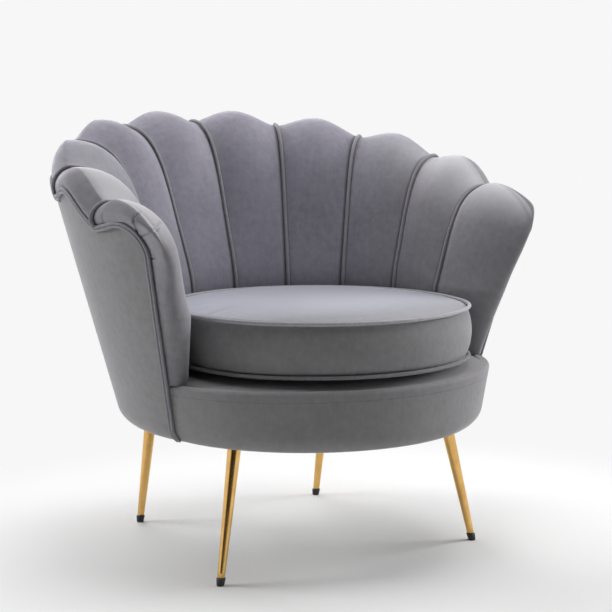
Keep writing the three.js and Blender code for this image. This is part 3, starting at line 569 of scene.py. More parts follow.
@dataclass(frozen=True)
class Velvet:
    """Short-pile velvet: dark where the pile is seen end on, bright where it is seen from the side.

    A seat axis, given by its depth, makes the cloth that of the channels, with painted light and shade: cooler and
    lighter behind, greyer and darker towards the chair's front, painted highlight and shade on the rolled tops, and
    painted shade beside the seams. A crease is a height at which the cloth was drawn over an edge; a line of painted
    shade marks it.
    """

    name: str
    colour: Colour
    shaded: Colour
    # Painted highlight: a lighter, bluer colour on tops that face up, standing in for sheen and light from above.
    painted_top_highlight: Colour | None = None
    mapped: bool = True
    seat_axis: float | None = None
    crease: float | None = None
    sheen: float = 0.55
    sheen_tint: Colour = (0.80, 0.79, 0.84)
    sheen_rough: float = 0.34
    gloss: float = 0.18
    patch: float = 7.0
    mottle: float = 85.0
    grain: float = 950.0
    threads: float = 260.0
    thread_length: float = 22.0
    patch_share: float = 0.30
    mottle_share: float = 0.46
    row_share: float = 0.12
    grain_share: float = 0.12
    mottle_bump: tuple[float, float] = (0.16, 0.0012)
    grain_bump: tuple[float, float] = (0.22, 0.0005)
    # Painted light and shade: the channels' colour turns from the cooler, lighter one behind to this greyer, darker one
    # at the front.
    front_colour: Colour = (0.300, 0.293, 0.312)
    front_shaded: Colour = (0.186, 0.181, 0.194)
    front_from: float = 0.24
    front_to: float = 0.02
    # Painted highlight on the rolled tops' inner side.
    roll_highlight: Colour = (0.62, 0.61, 0.64)
    roll_highlight_share: float = 0.80
    # closed: colour of the painted shade on the rolled tops' outer side.
    closed: Colour = (0.09, 0.088, 0.094)
    roll_shade_share: float = 0.60
    # Painted shade beside the left and the right seam.
    left_seam: tuple[float, float] = (0.0070, 0.0025)
    left_shade: float = 0.45
    right_seam: tuple[float, float] = (0.0105, 0.0040)
    right_shade: float = 0.80
    seam_dark: float = 0.12
    # Painted shade along the crease.
    crease_ticks: float = 140.0
    crease_waver: float = 0.002
    crease_share: float = 0.30
    crease_dark: float = 0.35

    def build(self) -> bpy.types.Material:
        """Makes the material: broad pile patches, mottling, faint rows of the ground weave, and pile grain.

        Returns:
            The material.
        """
        shade = Shade(bpy.data.materials.new(self.name))
        where = shade.place()
        patches = shade.noise(where, self.patch, 3.0, 0.55).clamped(0.32, 0.68)
        mottles = shade.noise(where, self.mottle, 4.0, 0.6).clamped(0.25, 0.75)
        weave = (self.threads, self.thread_length)
        along = shade.cloth((*weave, 1.0)) if self.mapped else shade.place((*weave, self.thread_length))
        rows = shade.noise(along, 1.0, 2.0, 0.5).clamped(0.3, 0.7)
        pile = shade.noise(where, self.grain, 2.0, 0.6)
        lie = patches * self.patch_share + mottles * self.mottle_share + rows * self.row_share + pile * self.grain_share
        colour = shade.blend(lie, self.shaded, self.colour)
        if self.seat_axis is not None:
            colour = self.paint_seam_shade(shade, self.paint_roll_light_and_shade(shade, where, lie, colour))
        if self.crease is not None:
            colour = self.paint_crease_shade(shade, where, colour)
        # Painted highlight: faces that point up, and more those that tilt back, turn to the lighter top colour.
        if self.painted_top_highlight is not None:
            normal = shade.normal()
            painted_sheen_tilt = normal.axis(1).clamped(-0.14, 0.01)
            colour = shade.blend(normal.axis(2).clamped(0.55, 0.95) * (painted_sheen_tilt * 0.75 + 0.25), colour, self.painted_top_highlight)
        bent = shade.bump(mottles, *self.mottle_bump, under=shade.bump(pile, *self.grain_bump))
        return self.surface(shade, colour, lie * -0.14 + 0.92, bent)

    def paint_roll_light_and_shade(self, shade: Shade, where: Value, lie: Value, colour: Value) -> Value:
        """The front's colour before the back's, the change between them painted light and shade, and a painted
        highlight on the rolled tops' inner side.

        The outer side of the tops gets painted shade before the seat's axis, where its pile would be seen end on.

        Args:
            shade: The tree.
            where: Object coordinates.
            lie: How far the pile lies flat, 0 to 1.
            colour: The back's colour.

        Returns:
            The new colour.
        """
        axis = self.seat_axis
        # Painted light and shade: cooler and lighter behind, greyer and darker towards the front.
        back = where.axis(1).clamped(axis + self.front_to, axis + self.front_from)
        colour = shade.blend(back, shade.blend(lie, self.front_shaded, self.front_colour), colour)
        spoke = where.vector("SUBTRACT", (0.0, axis, 0.0)).vector("MULTIPLY", (1.0, 1.0, 0.0)).vector("NORMALIZE")
        normal = shade.normal()
        outward = normal.vector("DOT_PRODUCT", spoke, "Value")
        up = normal.axis(2).clamped(0.30, 0.85)
        before = where.axis(1).clamped(axis + 0.02, axis - 0.01)
        # Painted highlight on the inner side of the rolled tops, behind the front.
        light = up * outward.clamped(0.15, -0.10) * (1.0 - back) * (before * -0.4 + 1.0)
        colour = shade.blend(light * self.roll_highlight_share, colour, self.roll_highlight)
        # Painted shade on the tops' outer side before the seat's axis.
        painted_roll_shade = up * outward.clamped(-0.05, 0.20) * before
        return shade.blend(painted_roll_shade * self.roll_shade_share, colour, self.closed)

    def paint_seam_shade(self, shade: Shade, colour: Value) -> Value:
        """Painted shade towards the seams, and more beside the right one.

        Args:
            shade: The tree.
            colour: The cloth's colour.

        Returns:
            The new colour.
        """
        beside = shade.node("ShaderNodeUVMap", {"uv_map": "seams"})
        left = beside.axis(0).clamped(*self.left_seam) * self.left_shade
        near = left + beside.axis(1).clamped(*self.right_seam) * self.right_shade
        return shade.blend(near, colour, tuple(self.seam_dark * c for c in self.shaded))

    def paint_crease_shade(self, shade: Shade, where: Value, colour: Value) -> Value:
        """A broken line of painted shade at the crease's height.

        Args:
            shade: The tree.
            where: Object coordinates.
            colour: The cloth's colour.

        Returns:
            The new colour.
        """
        ticks = shade.noise(shade.place((self.crease_ticks, self.crease_ticks, 0.0)), 1.0, 2.0, 0.6)
        off = where.axis(2) + ticks * self.crease_waver - self.crease
        line = (off**2.0).clamped(1.5e-6, 0.0) * ticks.clamped(0.25, 0.60)
        return shade.blend(line * self.crease_share, colour, tuple(self.crease_dark * c for c in self.shaded))

    def surface(self, shade: Shade, colour: Value, rough: Value, bent: Value) -> bpy.types.Material:
        """Ends the tree in the pile's shader: hardly any gloss, and a sheen at grazing angles.

        Args:
            shade: The tree.
            colour: The cloth's colour.
            rough: Its roughness.
            bent: Its bent normal.

        Returns:
            The material.
        """
        return shade.surface(
            Base_Color=colour,
            Roughness=rough,
            Sheen_Weight=self.sheen,
            Sheen_Tint=(*self.sheen_tint, 1.0),
            Sheen_Roughness=self.sheen_rough,
            Specular_IOR_Level=self.gloss,
            Normal=bent,
        )


@dataclass(frozen=True)
class CordVelvet(Velvet):
    """The same velvet cut on the bias and wrapped round a cord."""

    wrap: float = 230.0

    def build(self) -> bpy.types.Material:
        """Makes the material: slanting bias ribs along the cord, pile grain and mottling.

        Returns:
            The material.
        """
        shade = Shade(bpy.data.materials.new(self.name))
        where = shade.place()
        settings = {"wave_type": "BANDS", "bands_direction": "DIAGONAL"}
        inputs = {"Vector": shade.cloth((1.0, self.wrap, 1.0)), "Scale": 1.0, "Distortion": 2.0, "Detail": 2.0}
        ribs = shade.node("ShaderNodeTexWave", settings, inputs, "Fac")
        mottles = shade.noise(where, self.mottle * 2, 4.0, 0.6).clamped(0.25, 0.75)
        pile = shade.noise(where, self.grain, 2.0, 0.6)
        colour = shade.blend(mottles * 0.6 + ribs * 0.25 + pile * 0.15, self.shaded, self.colour)
        bent = shade.bump(pile * 0.5 + ribs * 0.5, 0.18, 0.0005)
        return self.surface(shade, colour, mottles * -0.1 + 0.9, bent)


@dataclass(frozen=True)
class Brass:
    """Polished gold-coloured plating with the faint rings of its polishing and a few rubbed places."""

    name: str
    colour: Colour = (0.78, 0.48, 0.165)
    worn: Colour = (0.66, 0.39, 0.125)
    rough: float = 0.13

    def build(self) -> bpy.types.Material:
        """Makes the material.

        Returns:
            The material.
        """
        shade = Shade(bpy.data.materials.new(self.name))
        rings = shade.noise(shade.place((30.0, 30.0, 900.0)), 1.0, 2.0, 0.5)
        rubs = shade.noise(shade.place(), 40.0, 3.0, 0.6).clamped(0.35, 0.75)
        return shade.surface(
            Base_Color=shade.blend(rubs, self.colour, self.worn),
            Metallic=1.0,
            Roughness=rings * 0.05 + rubs * 0.06 + self.rough,
            Normal=shade.bump(rings, 0.03, 0.0003),
        )


@dataclass(frozen=True)
class Grained:
    """A plain technical finish: two tones mixed by stretched noise, with a bump of the same grain."""

    name: str
    light: Colour
    dark: Colour
    stretch: tuple[float, float, float] = (1.0, 1.0, 1.0)
    scale: float = 60.0
    rough: float = 0.6
    metallic: float = 0.0
    bump: float = 0.2

    def build(self) -> bpy.types.Material:
        """Makes the material.

        Returns:
            The material.
        """
        shade = Shade(bpy.data.materials.new(self.name))
        grain = shade.noise(shade.place(self.stretch), self.scale, 5.0, 0.6)
        fine = shade.noise(shade.place(), self.scale * 14, 2.0, 0.6)
        return shade.surface(
            Base_Color=shade.blend(grain.clamped(0.3, 0.7), self.light, self.dark),
            Metallic=self.metallic,
            Roughness=fine * 0.15 + self.rough,
            Normal=shade.bump(grain * 0.6 + fine * 0.4, self.bump, 0.0006),
        )


# ---- the shell's form ----

# Rows of a channel's grid: the foot is 0, the curl starts at CURL, and the roll runs from RIDGE to WELT.
CURL, RIDGE, WELT = 3, 7, 11
ROWS = np.concatenate(
    [np.linspace(0, CURL, 28)[:-1], np.linspace(CURL, RIDGE, 61)[:-1], np.linspace(RIDGE, WELT, 37)]
)


def curled(row: Grid) -> Grid:
    """Share of the way from the curl's foot to the ridge."""
    return np.clip((row - CURL) / (RIDGE - CURL), 0, 1)


def rolled(row: Grid) -> Grid:
    """Share of the way from the ridge to the welt."""
    return np.clip((row - RIDGE) / (WELT - RIDGE), 0, 1)


@dataclass
class ShellForm:
    """Sizes of the shell and the formulas that every upholstered piece of it shares.

    Points are placed from the seat's upright axis. Angles go round it in degrees, from the
    back towards the chair's right. "Off axis" is the distance from the seat's axis.
    """

    depth: float
    gap: float = 0.0005
    axis_behind: float = 0.045
    low_height: float = 0.220
    low_radius: float = 0.2975
    slope: float = 0.2725
    bend_height: float = 0.575
    bend_reach: float = 0.080
    under_radius: float = 0.028
    base_height: float = 0.212
    skin: float = 0.004
    deck_height: float = 0.310
    inner_radius: float = 0.256
    lean_start: float = 0.432
    lean: float = 0.35
    lean_blend: float = 0.014
    back_ridge: float = 0.705
    arm_ridge: float = 0.594
    ridge_power: float = 0.87
    ridge_inset: float = 0.031
    back_welt: float = 0.640
    arm_welt: float = 0.553
    welt_power: float = 0.8
    roll_out: float = 0.020
    roll_start_handle: float = 0.55
    roll_end_handle: float = 0.50
    settled: float = 0.0
    settled_from: float = 35.0
    settled_over: float = 25.0
    curl_height: float = 0.170
    curl_start_handle: float = 0.50
    curl_end_handle: float = 0.66
    pitch: float = 22.5
    channels: int = 4
    swell_low: float = 0.008
    swell_top: float = 0.023
    swell_from: float = 0.411
    back_scallop: float = 0.012
    arm_scallop: float = 0.030
    front_low: float = 0.004
    front_top: float = 0.012
    front_angle: float = 9.0
    roundness: float = 2.2
    fullness: float = 0.8
    top_roundness: float = 1.85
    top_fullness: float = 1.7
    pad: float = 0.032
    pad_ridge: float = 0.026
    pad_welt: float = 0.009
    arm_plane: float = 0.050
    arm_plane_height: float = 0.213
    arm_lean: float = 0.176
    corner_radius: float = 0.046
    corner_height: float = 0.517
    arm_start: float = 94.0
    rail_depth: float = 0.271
    rail_inset: float = 0.011
    rail_lip_radius: float = 0.007
    rail_lip_width: float = 0.016

    @property
    def last(self) -> float:
        """Angle of the last seam."""
        return self.pitch * self.channels

    @property
    def pad_foot(self) -> float:
        """Height of the padding's lower end."""
        return self.deck_height + self.gap

    @property
    def side_foot(self) -> float:
        """Height at which the covers turn under the base."""
        return self.base_height + self.under_radius

    def placed(self, angle: Grid, off: Grid, z: Grid) -> Grid:
        """Points from angle, distance from the seat's axis, and height: (r sin a, r cos a + depth, z)."""
        a = np.radians(angle)
        return stack(off * np.sin(a), off * np.cos(a) + self.depth, z)

    def cone(self, z: Grid) -> Grid:
        """Outside radius at a height: a cone that eases into an upright wall over the bend's reach.

        Args:
            z: Heights.

        Returns:
            Radii about the shell's axis.
        """
        past = np.clip((z - self.bend_height) / self.bend_reach, 0.0, 1.0)
        straight = self.low_radius + self.slope * (np.minimum(z, self.bend_height) - self.low_height)
        return straight + self.slope * self.bend_reach * (past - past**2 / 2)

    def off_axis(self, angle: Grid, radius: Grid) -> Grid:
        """Distance from the seat's axis to a circle about the shell's axis: b cos a + sqrt(r^2 - (b sin a)^2)."""
        a = np.radians(angle)
        return self.axis_behind * np.cos(a) + np.sqrt(radius**2 - (self.axis_behind * np.sin(a)) ** 2)

    def on_cone(self, y: Grid, z: Grid, inset: Grid | float = 0.0) -> Grid:
        """Point of the right half of the cone at a depth from the seat's axis and a height.

        Args:
            y: Depths from the seat's axis.
            z: Heights.
            inset: Distance inside the cone.

        Returns:
            Points.
        """
        radius = self.cone(z) - inset
        x = np.sqrt(radius**2 - (y - self.axis_behind) ** 2)
        return stack(x, y + self.depth, z)

    def cone_normal(self, p: Grid) -> Grid:
        """Outward normal of the cone at points.

        Args:
            p: Points.

        Returns:
            Vectors of length one.
        """
        z = p[..., 2]
        past = np.clip((z - self.bend_height) / self.bend_reach, 0.0, 1.0)
        flat = unit(stack(p[..., 0], p[..., 1] - self.depth - self.axis_behind, 0 * z))
        flat[..., 2] = -self.slope * (1 - past)
        return unit(flat)

    def rail(self, angle: Grid, z: Grid) -> Grid:
        """Off-axis distance of the front rail: an oval as wide as the cone less its inset."""
        a = np.radians(angle)
        return 1 / np.hypot(np.sin(a) / (self.cone(z) - self.rail_inset), np.cos(a) / self.rail_depth)

    def front_ahead(self, z: Grid) -> Grid:
        """How far the arm's front edge stands ahead of the seat's axis: a leaning line, then a corner's arc.

        Args:
            z: Heights.

        Returns:
            Distances ahead of the seat's axis.
        """
        lean = self.arm_lean * (np.minimum(z, self.corner_height) - self.arm_plane_height)
        above = np.clip(z - self.corner_height, 0, self.corner_radius)
        arc = np.sqrt(self.corner_radius**2 - above**2)
        return self.arm_plane + lean - self.corner_radius + arc

    @property
    def corner_centre(self) -> float:
        """How far the corner's centre stands ahead of the seat's axis."""
        return float(self.front_ahead(np.float64(self.corner_height))) - self.corner_radius

    def arm_top(self, y: Grid) -> Grid:
        """Height of the welt over the front channel: a smooth rise from the dip, then the corner's arc.

        Args:
            y: Depths from the seat's axis.

        Returns:
            Heights.
        """
        past = np.clip(-y - self.corner_centre, 0, self.corner_radius)
        rise = mix(self.arm_welt, self.corner_height + self.corner_radius, smooth(-y / self.corner_centre))
        arc = self.corner_height + np.sqrt(self.corner_radius**2 - past**2)
        return np.where(-y > self.corner_centre, arc, rise)

    def backness(self, angle: Grid) -> Grid:
        """Cosine of the angle, held between 1 at the back and 0 from the last seam on."""
        return np.clip(np.cos(np.radians(np.minimum(np.abs(angle), self.last))), 0.0, 1.0)

    def settling(self, angle: Grid) -> Grid:
        """How far a used arm's roll has sunk and spread: a smooth step from the back to the arm."""
        return self.settled * smooth((np.abs(angle) - self.settled_from) / self.settled_over)

    def ridge(self, angle: Grid) -> Grid:
        """Height of the seams' highest points, which fall from the back to the arms."""
        return mix(self.arm_ridge, self.back_ridge, self.backness(angle) ** self.ridge_power) - self.settling(angle)

    def welt_base(self, angle: Grid) -> Grid:
        """Height of the welt without its scallops.

        Args:
            angle: Angles in degrees.

        Returns:
            Heights.
        """
        out = np.abs(angle)
        depth = self.off_axis(out, self.cone(np.float64(self.arm_welt))) * np.cos(np.radians(out))
        shell = mix(self.arm_welt, self.back_welt, self.backness(angle) ** self.welt_power)
        return np.where(out > self.last, self.arm_top(np.minimum(depth, 0)), shell)

    def swell(self, angle: Grid, up: Grid | float = 1.0) -> Grid:
        """Share of a channel's full swell: (1 - |s|^roundness)^fullness with s from -1 to 1 across it.

        Both powers change up the curl, from a full pillow low down to a bell on the ridge.

        Args:
            angle: Angles in degrees.
            up: Share of the way up the curl.

        Returns:
            Shares from 0 to 1.
        """
        out = np.abs(angle)
        across = np.clip(np.abs((out % self.pitch) / self.pitch * 2 - 1), 0, 1)
        front = np.sin(np.radians(90) * np.clip((out - self.last) / self.front_angle, 0, 1))
        roundness = mix(self.roundness, self.top_roundness, up)
        fullness = mix(self.fullness, self.top_fullness, up)
        return np.where(out > self.last + 1e-9, front, (1 - across**roundness) ** fullness)

    def scallop(self, angle: Grid) -> Grid:
        """Scallop of the welt line: a raised cosine across each channel, deeper over the arms.

        Args:
            angle: Angles in degrees.

        Returns:
            Heights over the welt's base.
        """
        out = np.abs(angle)
        wave = 0.5 - 0.5 * np.cos(2 * np.pi * out / self.pitch)
        size = np.where(out > self.last - self.pitch, self.arm_scallop, self.back_scallop)
        return np.where(out > self.last, 0.0, wave * size)

    def section(self, angle: Grid, row: Grid) -> tuple[Grid, Grid]:
        """The seam's line in the upright plane at each angle.

        Rows up to CURL rise from the foot: inner radius + lean * w * ln(1 + e^((z - start) / w)).
        Then a Bezier curl goes out to the row RIDGE, and a Bezier roll down to the row WELT.

        Args:
            angle: Angles, broadcast against row.
            row: Row numbers from 0 to WELT.

        Returns:
            (off-axis distance, height).
        """
        ridge, welt = self.ridge(angle), self.welt_base(angle)
        curl_z = ridge - self.curl_height
        z = mix(self.pad_foot, curl_z, np.clip(row / CURL, 0, 1))
        w = self.lean_blend
        off = self.inner_radius + self.lean * w * np.logaddexp(0, (z - self.lean_start) / w)
        start = self.inner_radius + self.lean * w * np.logaddexp(0, (curl_z - self.lean_start) / w)
        top = self.off_axis(angle, self.cone(ridge) - self.ridge_inset) + self.settling(angle)
        end, end_z = self.off_axis(angle, self.cone(welt)), welt + self.gap
        t, s = curled(row), rolled(row)
        reach = self.curl_height * self.curl_start_handle
        size = math.hypot(self.lean, 1)
        before = mix(top, start, self.curl_end_handle)
        curl = bezier(start, start + reach * self.lean / size, before, top, t)
        curl_h = bezier(curl_z, curl_z + reach / size, ridge, ridge, t)
        hang = end + self.roll_out * (1 - self.backness(angle))
        roll = bezier(top, mix(top, end, self.roll_start_handle), hang, end, s)
        roll_h = bezier(ridge, ridge, mix(end_z, ridge, self.roll_end_handle), end_z, s)
        off = np.where(row > RIDGE, roll, np.where(row > CURL, curl, off))
        return off, np.where(row > RIDGE, roll_h, np.where(row > CURL, curl_h, z))

    def outward(self, off: Grid, z: Grid) -> tuple[Grid, Grid]:
        """Normal away from the padding along axis 0 of a section: (-dz, d off) made unit length.

        Args:
            off: Distances from the seat's axis.
            z: Heights.

        Returns:
            (off-axis part, upward part) of the normals.
        """
        d_off, d_z = np.gradient(off, axis=0), np.gradient(z, axis=0)
        size = np.hypot(d_off, d_z)
        return -d_z / size, d_off / size

    def rise(self, row: Grid, angle: Grid, z: Grid) -> Grid:
        """Swell of a channel at a row and height: it grows above the cushion, then turns into the welt's scallop.

        Args:
            row: Rows.
            angle: Angles in degrees.
            z: Heights.

        Returns:
            Distances out from the seams' surface.
        """
        front = np.abs(angle) > self.last
        low = np.where(front, self.front_low, self.swell_low)
        top = np.where(front, self.front_top, self.swell_top)
        grown = np.where(row < RIDGE, smooth((z - self.swell_from) / (self.ridge(angle) - self.swell_from)), 1.0)
        up = mix(low, top, grown) * self.swell(angle, smooth(curled(row)))
        return np.where(row > RIDGE, mix(up, self.scallop(angle), smooth(rolled(row))), up)

    def channel_rows(self, angle: Grid, row: Grid) -> tuple[Grid, Grid]:
        """Cover and back of the padding.

        Args:
            angle: Angles, shape (columns,).
            row: Rows, shape (rows,).

        Returns:
            (face points, back points), each (rows, columns, 3).
        """
        rows, angles = row[:, None] + 0 * angle[None], angle[None] + 0 * row[:, None]
        off, z = self.section(angles, rows)
        n_off, n_z = self.outward(off, z)
        rise = self.rise(rows, angles, z)
        down = rolled(rows)
        thick = mix(mix(self.pad, self.pad_ridge, curled(rows)), self.pad_welt, down)
        welt = self.welt_base(angles)
        lift = down * (self.cone(welt + rise) - self.cone(welt))
        face_off = np.where(down > 0, off + lift, off + n_off * rise)
        face_z = np.where(down > 0, z + rise, z + n_z * rise)
        back_off = np.where(rows < CURL, off + self.pad, off - n_off * thick)
        back_z = np.where(rows < CURL, z, z - n_z * thick)
        back_off[-1], back_z[-1] = face_off[-1] - self.pad_welt, face_z[-1]
        return self.placed(angles, face_off, face_z), self.placed(angles, back_off, back_z)


@dataclass(frozen=True)
class Pleat:
    """A fold in the cover over an arm's corner. Its ends are placed from the seat's axis."""

    start: tuple[float, float, float]
    end: tuple[float, float, float]
    depth: float
    width: float = 0.0018
    lips: float = 0.35
    fade_from: float = -0.4
    fade_over: float = 0.3
    gone_at: float = 1.1
    going_over: float = 0.5
    reach: float = 1.5

    def press(self, face: Grid, seat_depth: float) -> Grid:
        """Presses the fold into a cover.

        At distance d from the fold's plane, in widths, the cover sinks by
        depth * (e^-d^2 - lips (e^-(d-2)^2 + e^-(d+2)^2)), which fades at both ends.

        Args:
            face: Points of the cover, (rows, columns, 3).
            seat_depth: Depth of the seat's axis.

        Returns:
            The moved points.
        """
        start, end = (np.array(place) + np.array([0.0, seat_depth, 0.0]) for place in (self.start, self.end))
        normal = unit(np.cross(np.gradient(face, axis=1), np.gradient(face, axis=0)))
        near = np.linalg.norm(face - (start + end) / 2, axis=-1)
        length = np.linalg.norm(end - start)
        along = (end - start) / length
        side = unit(np.cross(along, normal.reshape(-1, 3)[near.argmin()]))
        d = (face - start) @ side / self.width
        t = (face - start) @ along / length
        fade = smooth((t - self.fade_from) / self.fade_over) * smooth((self.gone_at - t) / self.going_over)
        fade = fade * (near < self.reach * length)
        groove = np.exp(-(d**2)) - self.lips * (np.exp(-((d - 2) ** 2)) + np.exp(-((d + 2) ** 2)))
        return face - normal * (self.depth * groove * fade)[..., None]


LEFT_PLEATS = (
    Pleat((0.377, -0.108, 0.564), (0.361, -0.096, 0.585), 0.0026),
    Pleat((0.360, -0.111, 0.546), (0.361, -0.140, 0.552), 0.0020),
    Pleat((0.346, -0.103, 0.511), (0.346, -0.128, 0.514), 0.0018),
)
RIGHT_PLEATS = (
    Pleat((0.362, -0.106, 0.545), (0.361, -0.116, 0.547), 0.0016),
    Pleat((0.347, -0.099, 0.510), (0.346, -0.111, 0.512), 0.0016),
)
# Lower corner of the outside and rail covers: from under the base round to their upright side.
UNDER_TURN = np.radians(np.linspace(17, 90, 12))


@dataclass
class Upholstery:
    """The ten channels, the welts in their seams, the outside cover, its double welt and the rail's cover."""

    form: ShellForm
    left_form: ShellForm
    velvet: bpy.types.Material
    outer_velvet: bpy.types.Material
    cord_velvet: bpy.types.Material
    seam_gap: float = 0.0003
    seam_radius: float = 0.0032
    seam_seat: float = 0.0006
    seam_near: float = 0.06
    seam_lift: float = 0.72
    welt_radius: float = 0.0026
    welt_pitch: float = 0.0055
    welt_seat: float = 0.0006
    welt_behind: float = 0.0025
    overhang: float = 20.0
    start_handles: tuple[float, float] = (0.65, 0.80)
    end_handles: tuple[float, float] = (0.45, 0.85)
    back_handle: float = 0.2

    @property
    def seam_edge(self) -> float:
        """Angle of half the gap at a seam."""
        return math.degrees(self.seam_gap / self.form.inner_radius / 2)

    def channel(self, name: str, low: float, high: float, node: str) -> None:
        """One channel between two seam angles, its columns crowded towards the seams.

        Args:
            name: Name of the piece.
            low: Angle of its first seam.
            high: Angle of its second seam.
            node: CAD node that it replaces.
        """
        form = self.left_form if high <= 0 else self.form
        edge = self.seam_edge
        share = np.sin(np.linspace(-np.pi / 2, np.pi / 2, 45))
        angle = mix(low + edge, high - edge, (share + 1) / 2)
        self.petal(name, form.channel_rows(angle, ROWS), node)

    def petal(self, name: str, grids: tuple[Grid, Grid], node: str) -> None:
        """One padded piece from its face and back."""
        piece = dress(slab(name, *grids), self.velvet, "velvet", node)

    def front_channel(self, form: ShellForm, pleats: tuple[Pleat, ...]) -> tuple[Grid, Grid]:
        """The front channel of the right side, or of the left side turned over, which turns round the arm's front.

        Each row starts on the last seam, follows the channel to its start angle, and then a Bezier
        curve to the arm's front edge. Near the top the curves give way to the welt's own line on the cone.

        Args:
            form: The side's form.
            pleats: Folds in its cover.

        Returns:
            (face grid, back grid), each (rows, columns, 3).
        """
        first = np.linspace(form.last + self.seam_edge, form.arm_start, 10)
        face, back = form.channel_rows(first, ROWS)
        turn = form.placed(np.float64(form.arm_start + 90), np.float64(1), np.float64(0)) - np.array([0, form.depth, 0])
        height = smooth(ROWS / RIDGE)[:, None]
        early = smooth((ROWS + 1) / 5)[:, None]
        corner = np.radians(45) * rolled(ROWS)
        # where each row ends on the arm's front edge
        curl_z = form.arm_ridge - form.curl_height
        z = mix(form.pad_foot, curl_z, np.clip(ROWS / CURL, 0, 1))
        z = np.where(ROWS > CURL, mix(curl_z, form.corner_height, curled(ROWS)), z)
        z = z + form.corner_radius * np.sin(corner)
        lip = form.gap * (ROWS < WELT)
        last_edge = form.on_cone(-form.front_ahead(z) - lip, z)
        last_back = form.on_cone(-form.front_ahead(z) - lip, z, form.pad_welt)
        # the direction in which it gets there: along the cone, and square to the edge
        normal = form.cone_normal(last_edge)
        ahead = unit(np.cross(normal, np.array([0.0, 0.0, 1.0])))
        ahead = np.where(ahead[:, 1:2] > 0, -ahead, ahead)
        upward = np.cross(ahead, normal)
        upward = np.where(upward[:, 2:] < 0, -upward, upward)
        lead = ahead * np.cos(corner)[:, None] + upward * np.sin(corner)[:, None]
        hang = math.radians(self.overhang) * early
        handle = lead * np.cos(hang) + normal * np.sin(hang)
        # the curves' handles and points
        start, start_back = face[:, -1], back[:, -1]
        reach = np.linalg.norm(last_edge - start, axis=-1, keepdims=True)
        p1 = start + turn * reach * mix(*self.start_handles, height)
        p2 = last_edge + handle * reach * mix(*self.end_handles, mix(height, early, 0.5))
        reach_back = np.linalg.norm(last_back - start_back, axis=-1, keepdims=True)
        b1 = start_back + turn * reach_back * self.back_handle
        share = np.linspace(0, 1, 97)[1:]
        t = share[None, :, None]
        roll = bezier(start[:, None], p1[:, None], p2[:, None], last_edge[:, None], t)
        roll_back = bezier(start_back[:, None], b1[:, None], last_back[:, None], last_back[:, None], t)
        # the welt's own line, which the top rows turn into
        y = self.top_depth(share)
        top = form.on_cone(y, form.arm_top(y) + form.gap)
        top_back = form.on_cone(y, form.arm_top(y) + form.gap, form.pad_welt)
        near = np.clip(2 * rolled(ROWS) - 1, 0, 1)[:, None, None] ** 2
        roll = mix(roll, top[None], near)
        roll_back = mix(roll_back, top_back[None], near)
        face = np.concatenate([face, roll], 1)
        for pleat in pleats:
            face = pleat.press(face, form.depth)
        return face, np.concatenate([back, roll_back], 1)

    def top_depth(self, share: Grid) -> Grid:
        """Depth along the welt over the front channel: straight to the corner's centre, then round half its arc.

        Args:
            share: Share of the way along.

        Returns:
            Depths from the seat's axis.
        """
        form = self.form
        off = form.off_axis(form.arm_start, form.cone(np.float64(form.arm_welt)))
        start = off * math.cos(math.radians(form.arm_start))
        turn = np.radians(90 - 45 * np.clip((share - 0.5) / 0.5, 0, 1))
        straight = mix(start, -form.corner_centre, np.clip(share / 0.5, 0, 1))
        return np.where(share > 0.5, -form.corner_centre - form.corner_radius * np.cos(turn), straight)

    def channels(self) -> None:
        """All ten channels."""
        pitch = self.form.pitch
        for k in range(self.form.channels):
            low, high = k * pitch, (k + 1) * pitch
            self.channel(f"petal_right_{k + 1}", low, high, f"channel_right_{k + 1}")
            self.channel(f"petal_left_{k + 1}", -high, -low, f"channel_left_{k + 1}")
        self.petal("petal_right_front", self.front_channel(self.form, RIGHT_PLEATS), "channel_right_front")
        left = self.front_channel(self.left_form, LEFT_PLEATS)
        self.petal("petal_left_front", tuple(mirrored(grid)[:, ::-1] for grid in left), "channel_left_front")

    def seam_welts(self) -> None:
        """A covered cord in each seam, resting on the two slopes of the valley."""
        near = self.form.pitch * self.seam_near
        for k in range(-self.form.channels, self.form.channels + 1):
            form = self.left_form if k < 0 else self.form
            angle = np.full((len(ROWS), 1), k * form.pitch)
            off, z = form.section(angle, ROWS[:, None])
            n_off, n_z = form.outward(off, z)
            beside = np.abs(angle) - near
            tilt = np.arctan2(form.rise(ROWS[:, None], beside, z), off * math.radians(near))
            lift = (self.seam_radius + self.seam_seat) / np.cos(tilt) * self.seam_lift
            path = form.placed(angle, off + n_off * lift, z + n_z * lift)[:, 0]
            normal = (form.placed(angle, n_off, n_z) - np.array([0, form.depth, 0]))[:, 0]
            number = k + form.channels + 1
            piece = joined(f"seam_welt_{number}", [tube(path[:-2], normal[:-2], self.seam_radius)])
            dress(piece, self.cord_velvet, "velvet_cord", f"seam_cord_{number}")

    def under_turn(self, turn: Grid, depth: float) -> tuple[Grid, Grid]:
        """Lower corner of a cover: an arc from under the base to its upright side.

        Args:
            turn: Angles in radians, from straight down to straight out.
            depth: How far below the surface.

        Returns:
            (insets from the upright side, heights).
        """
        radius = self.form.under_radius - depth
        inset = self.form.under_radius - radius * np.sin(turn)
        return inset, self.form.side_foot - radius * np.cos(turn)

    def outside_cover(self) -> None:
        """The outside cover: Coons patches over the arm fronts and upright lines on the cone between them.

        A Coons patch is the blend of its two pairs of opposite edges, added up, less the blend of its corners.
        """
        form = self.form
        v = np.linspace(0, 1, 46)[1:]
        share = np.linspace(0, 1, 41)
        y = np.concatenate([self.top_depth(share)[::-1], [0.0]])
        angle = np.linspace(form.last, -form.last, 8 * 24 + 1)[None, 1:]
        corner_y = self.top_depth(np.float64(1.0))
        corner_z = form.arm_top(corner_y)

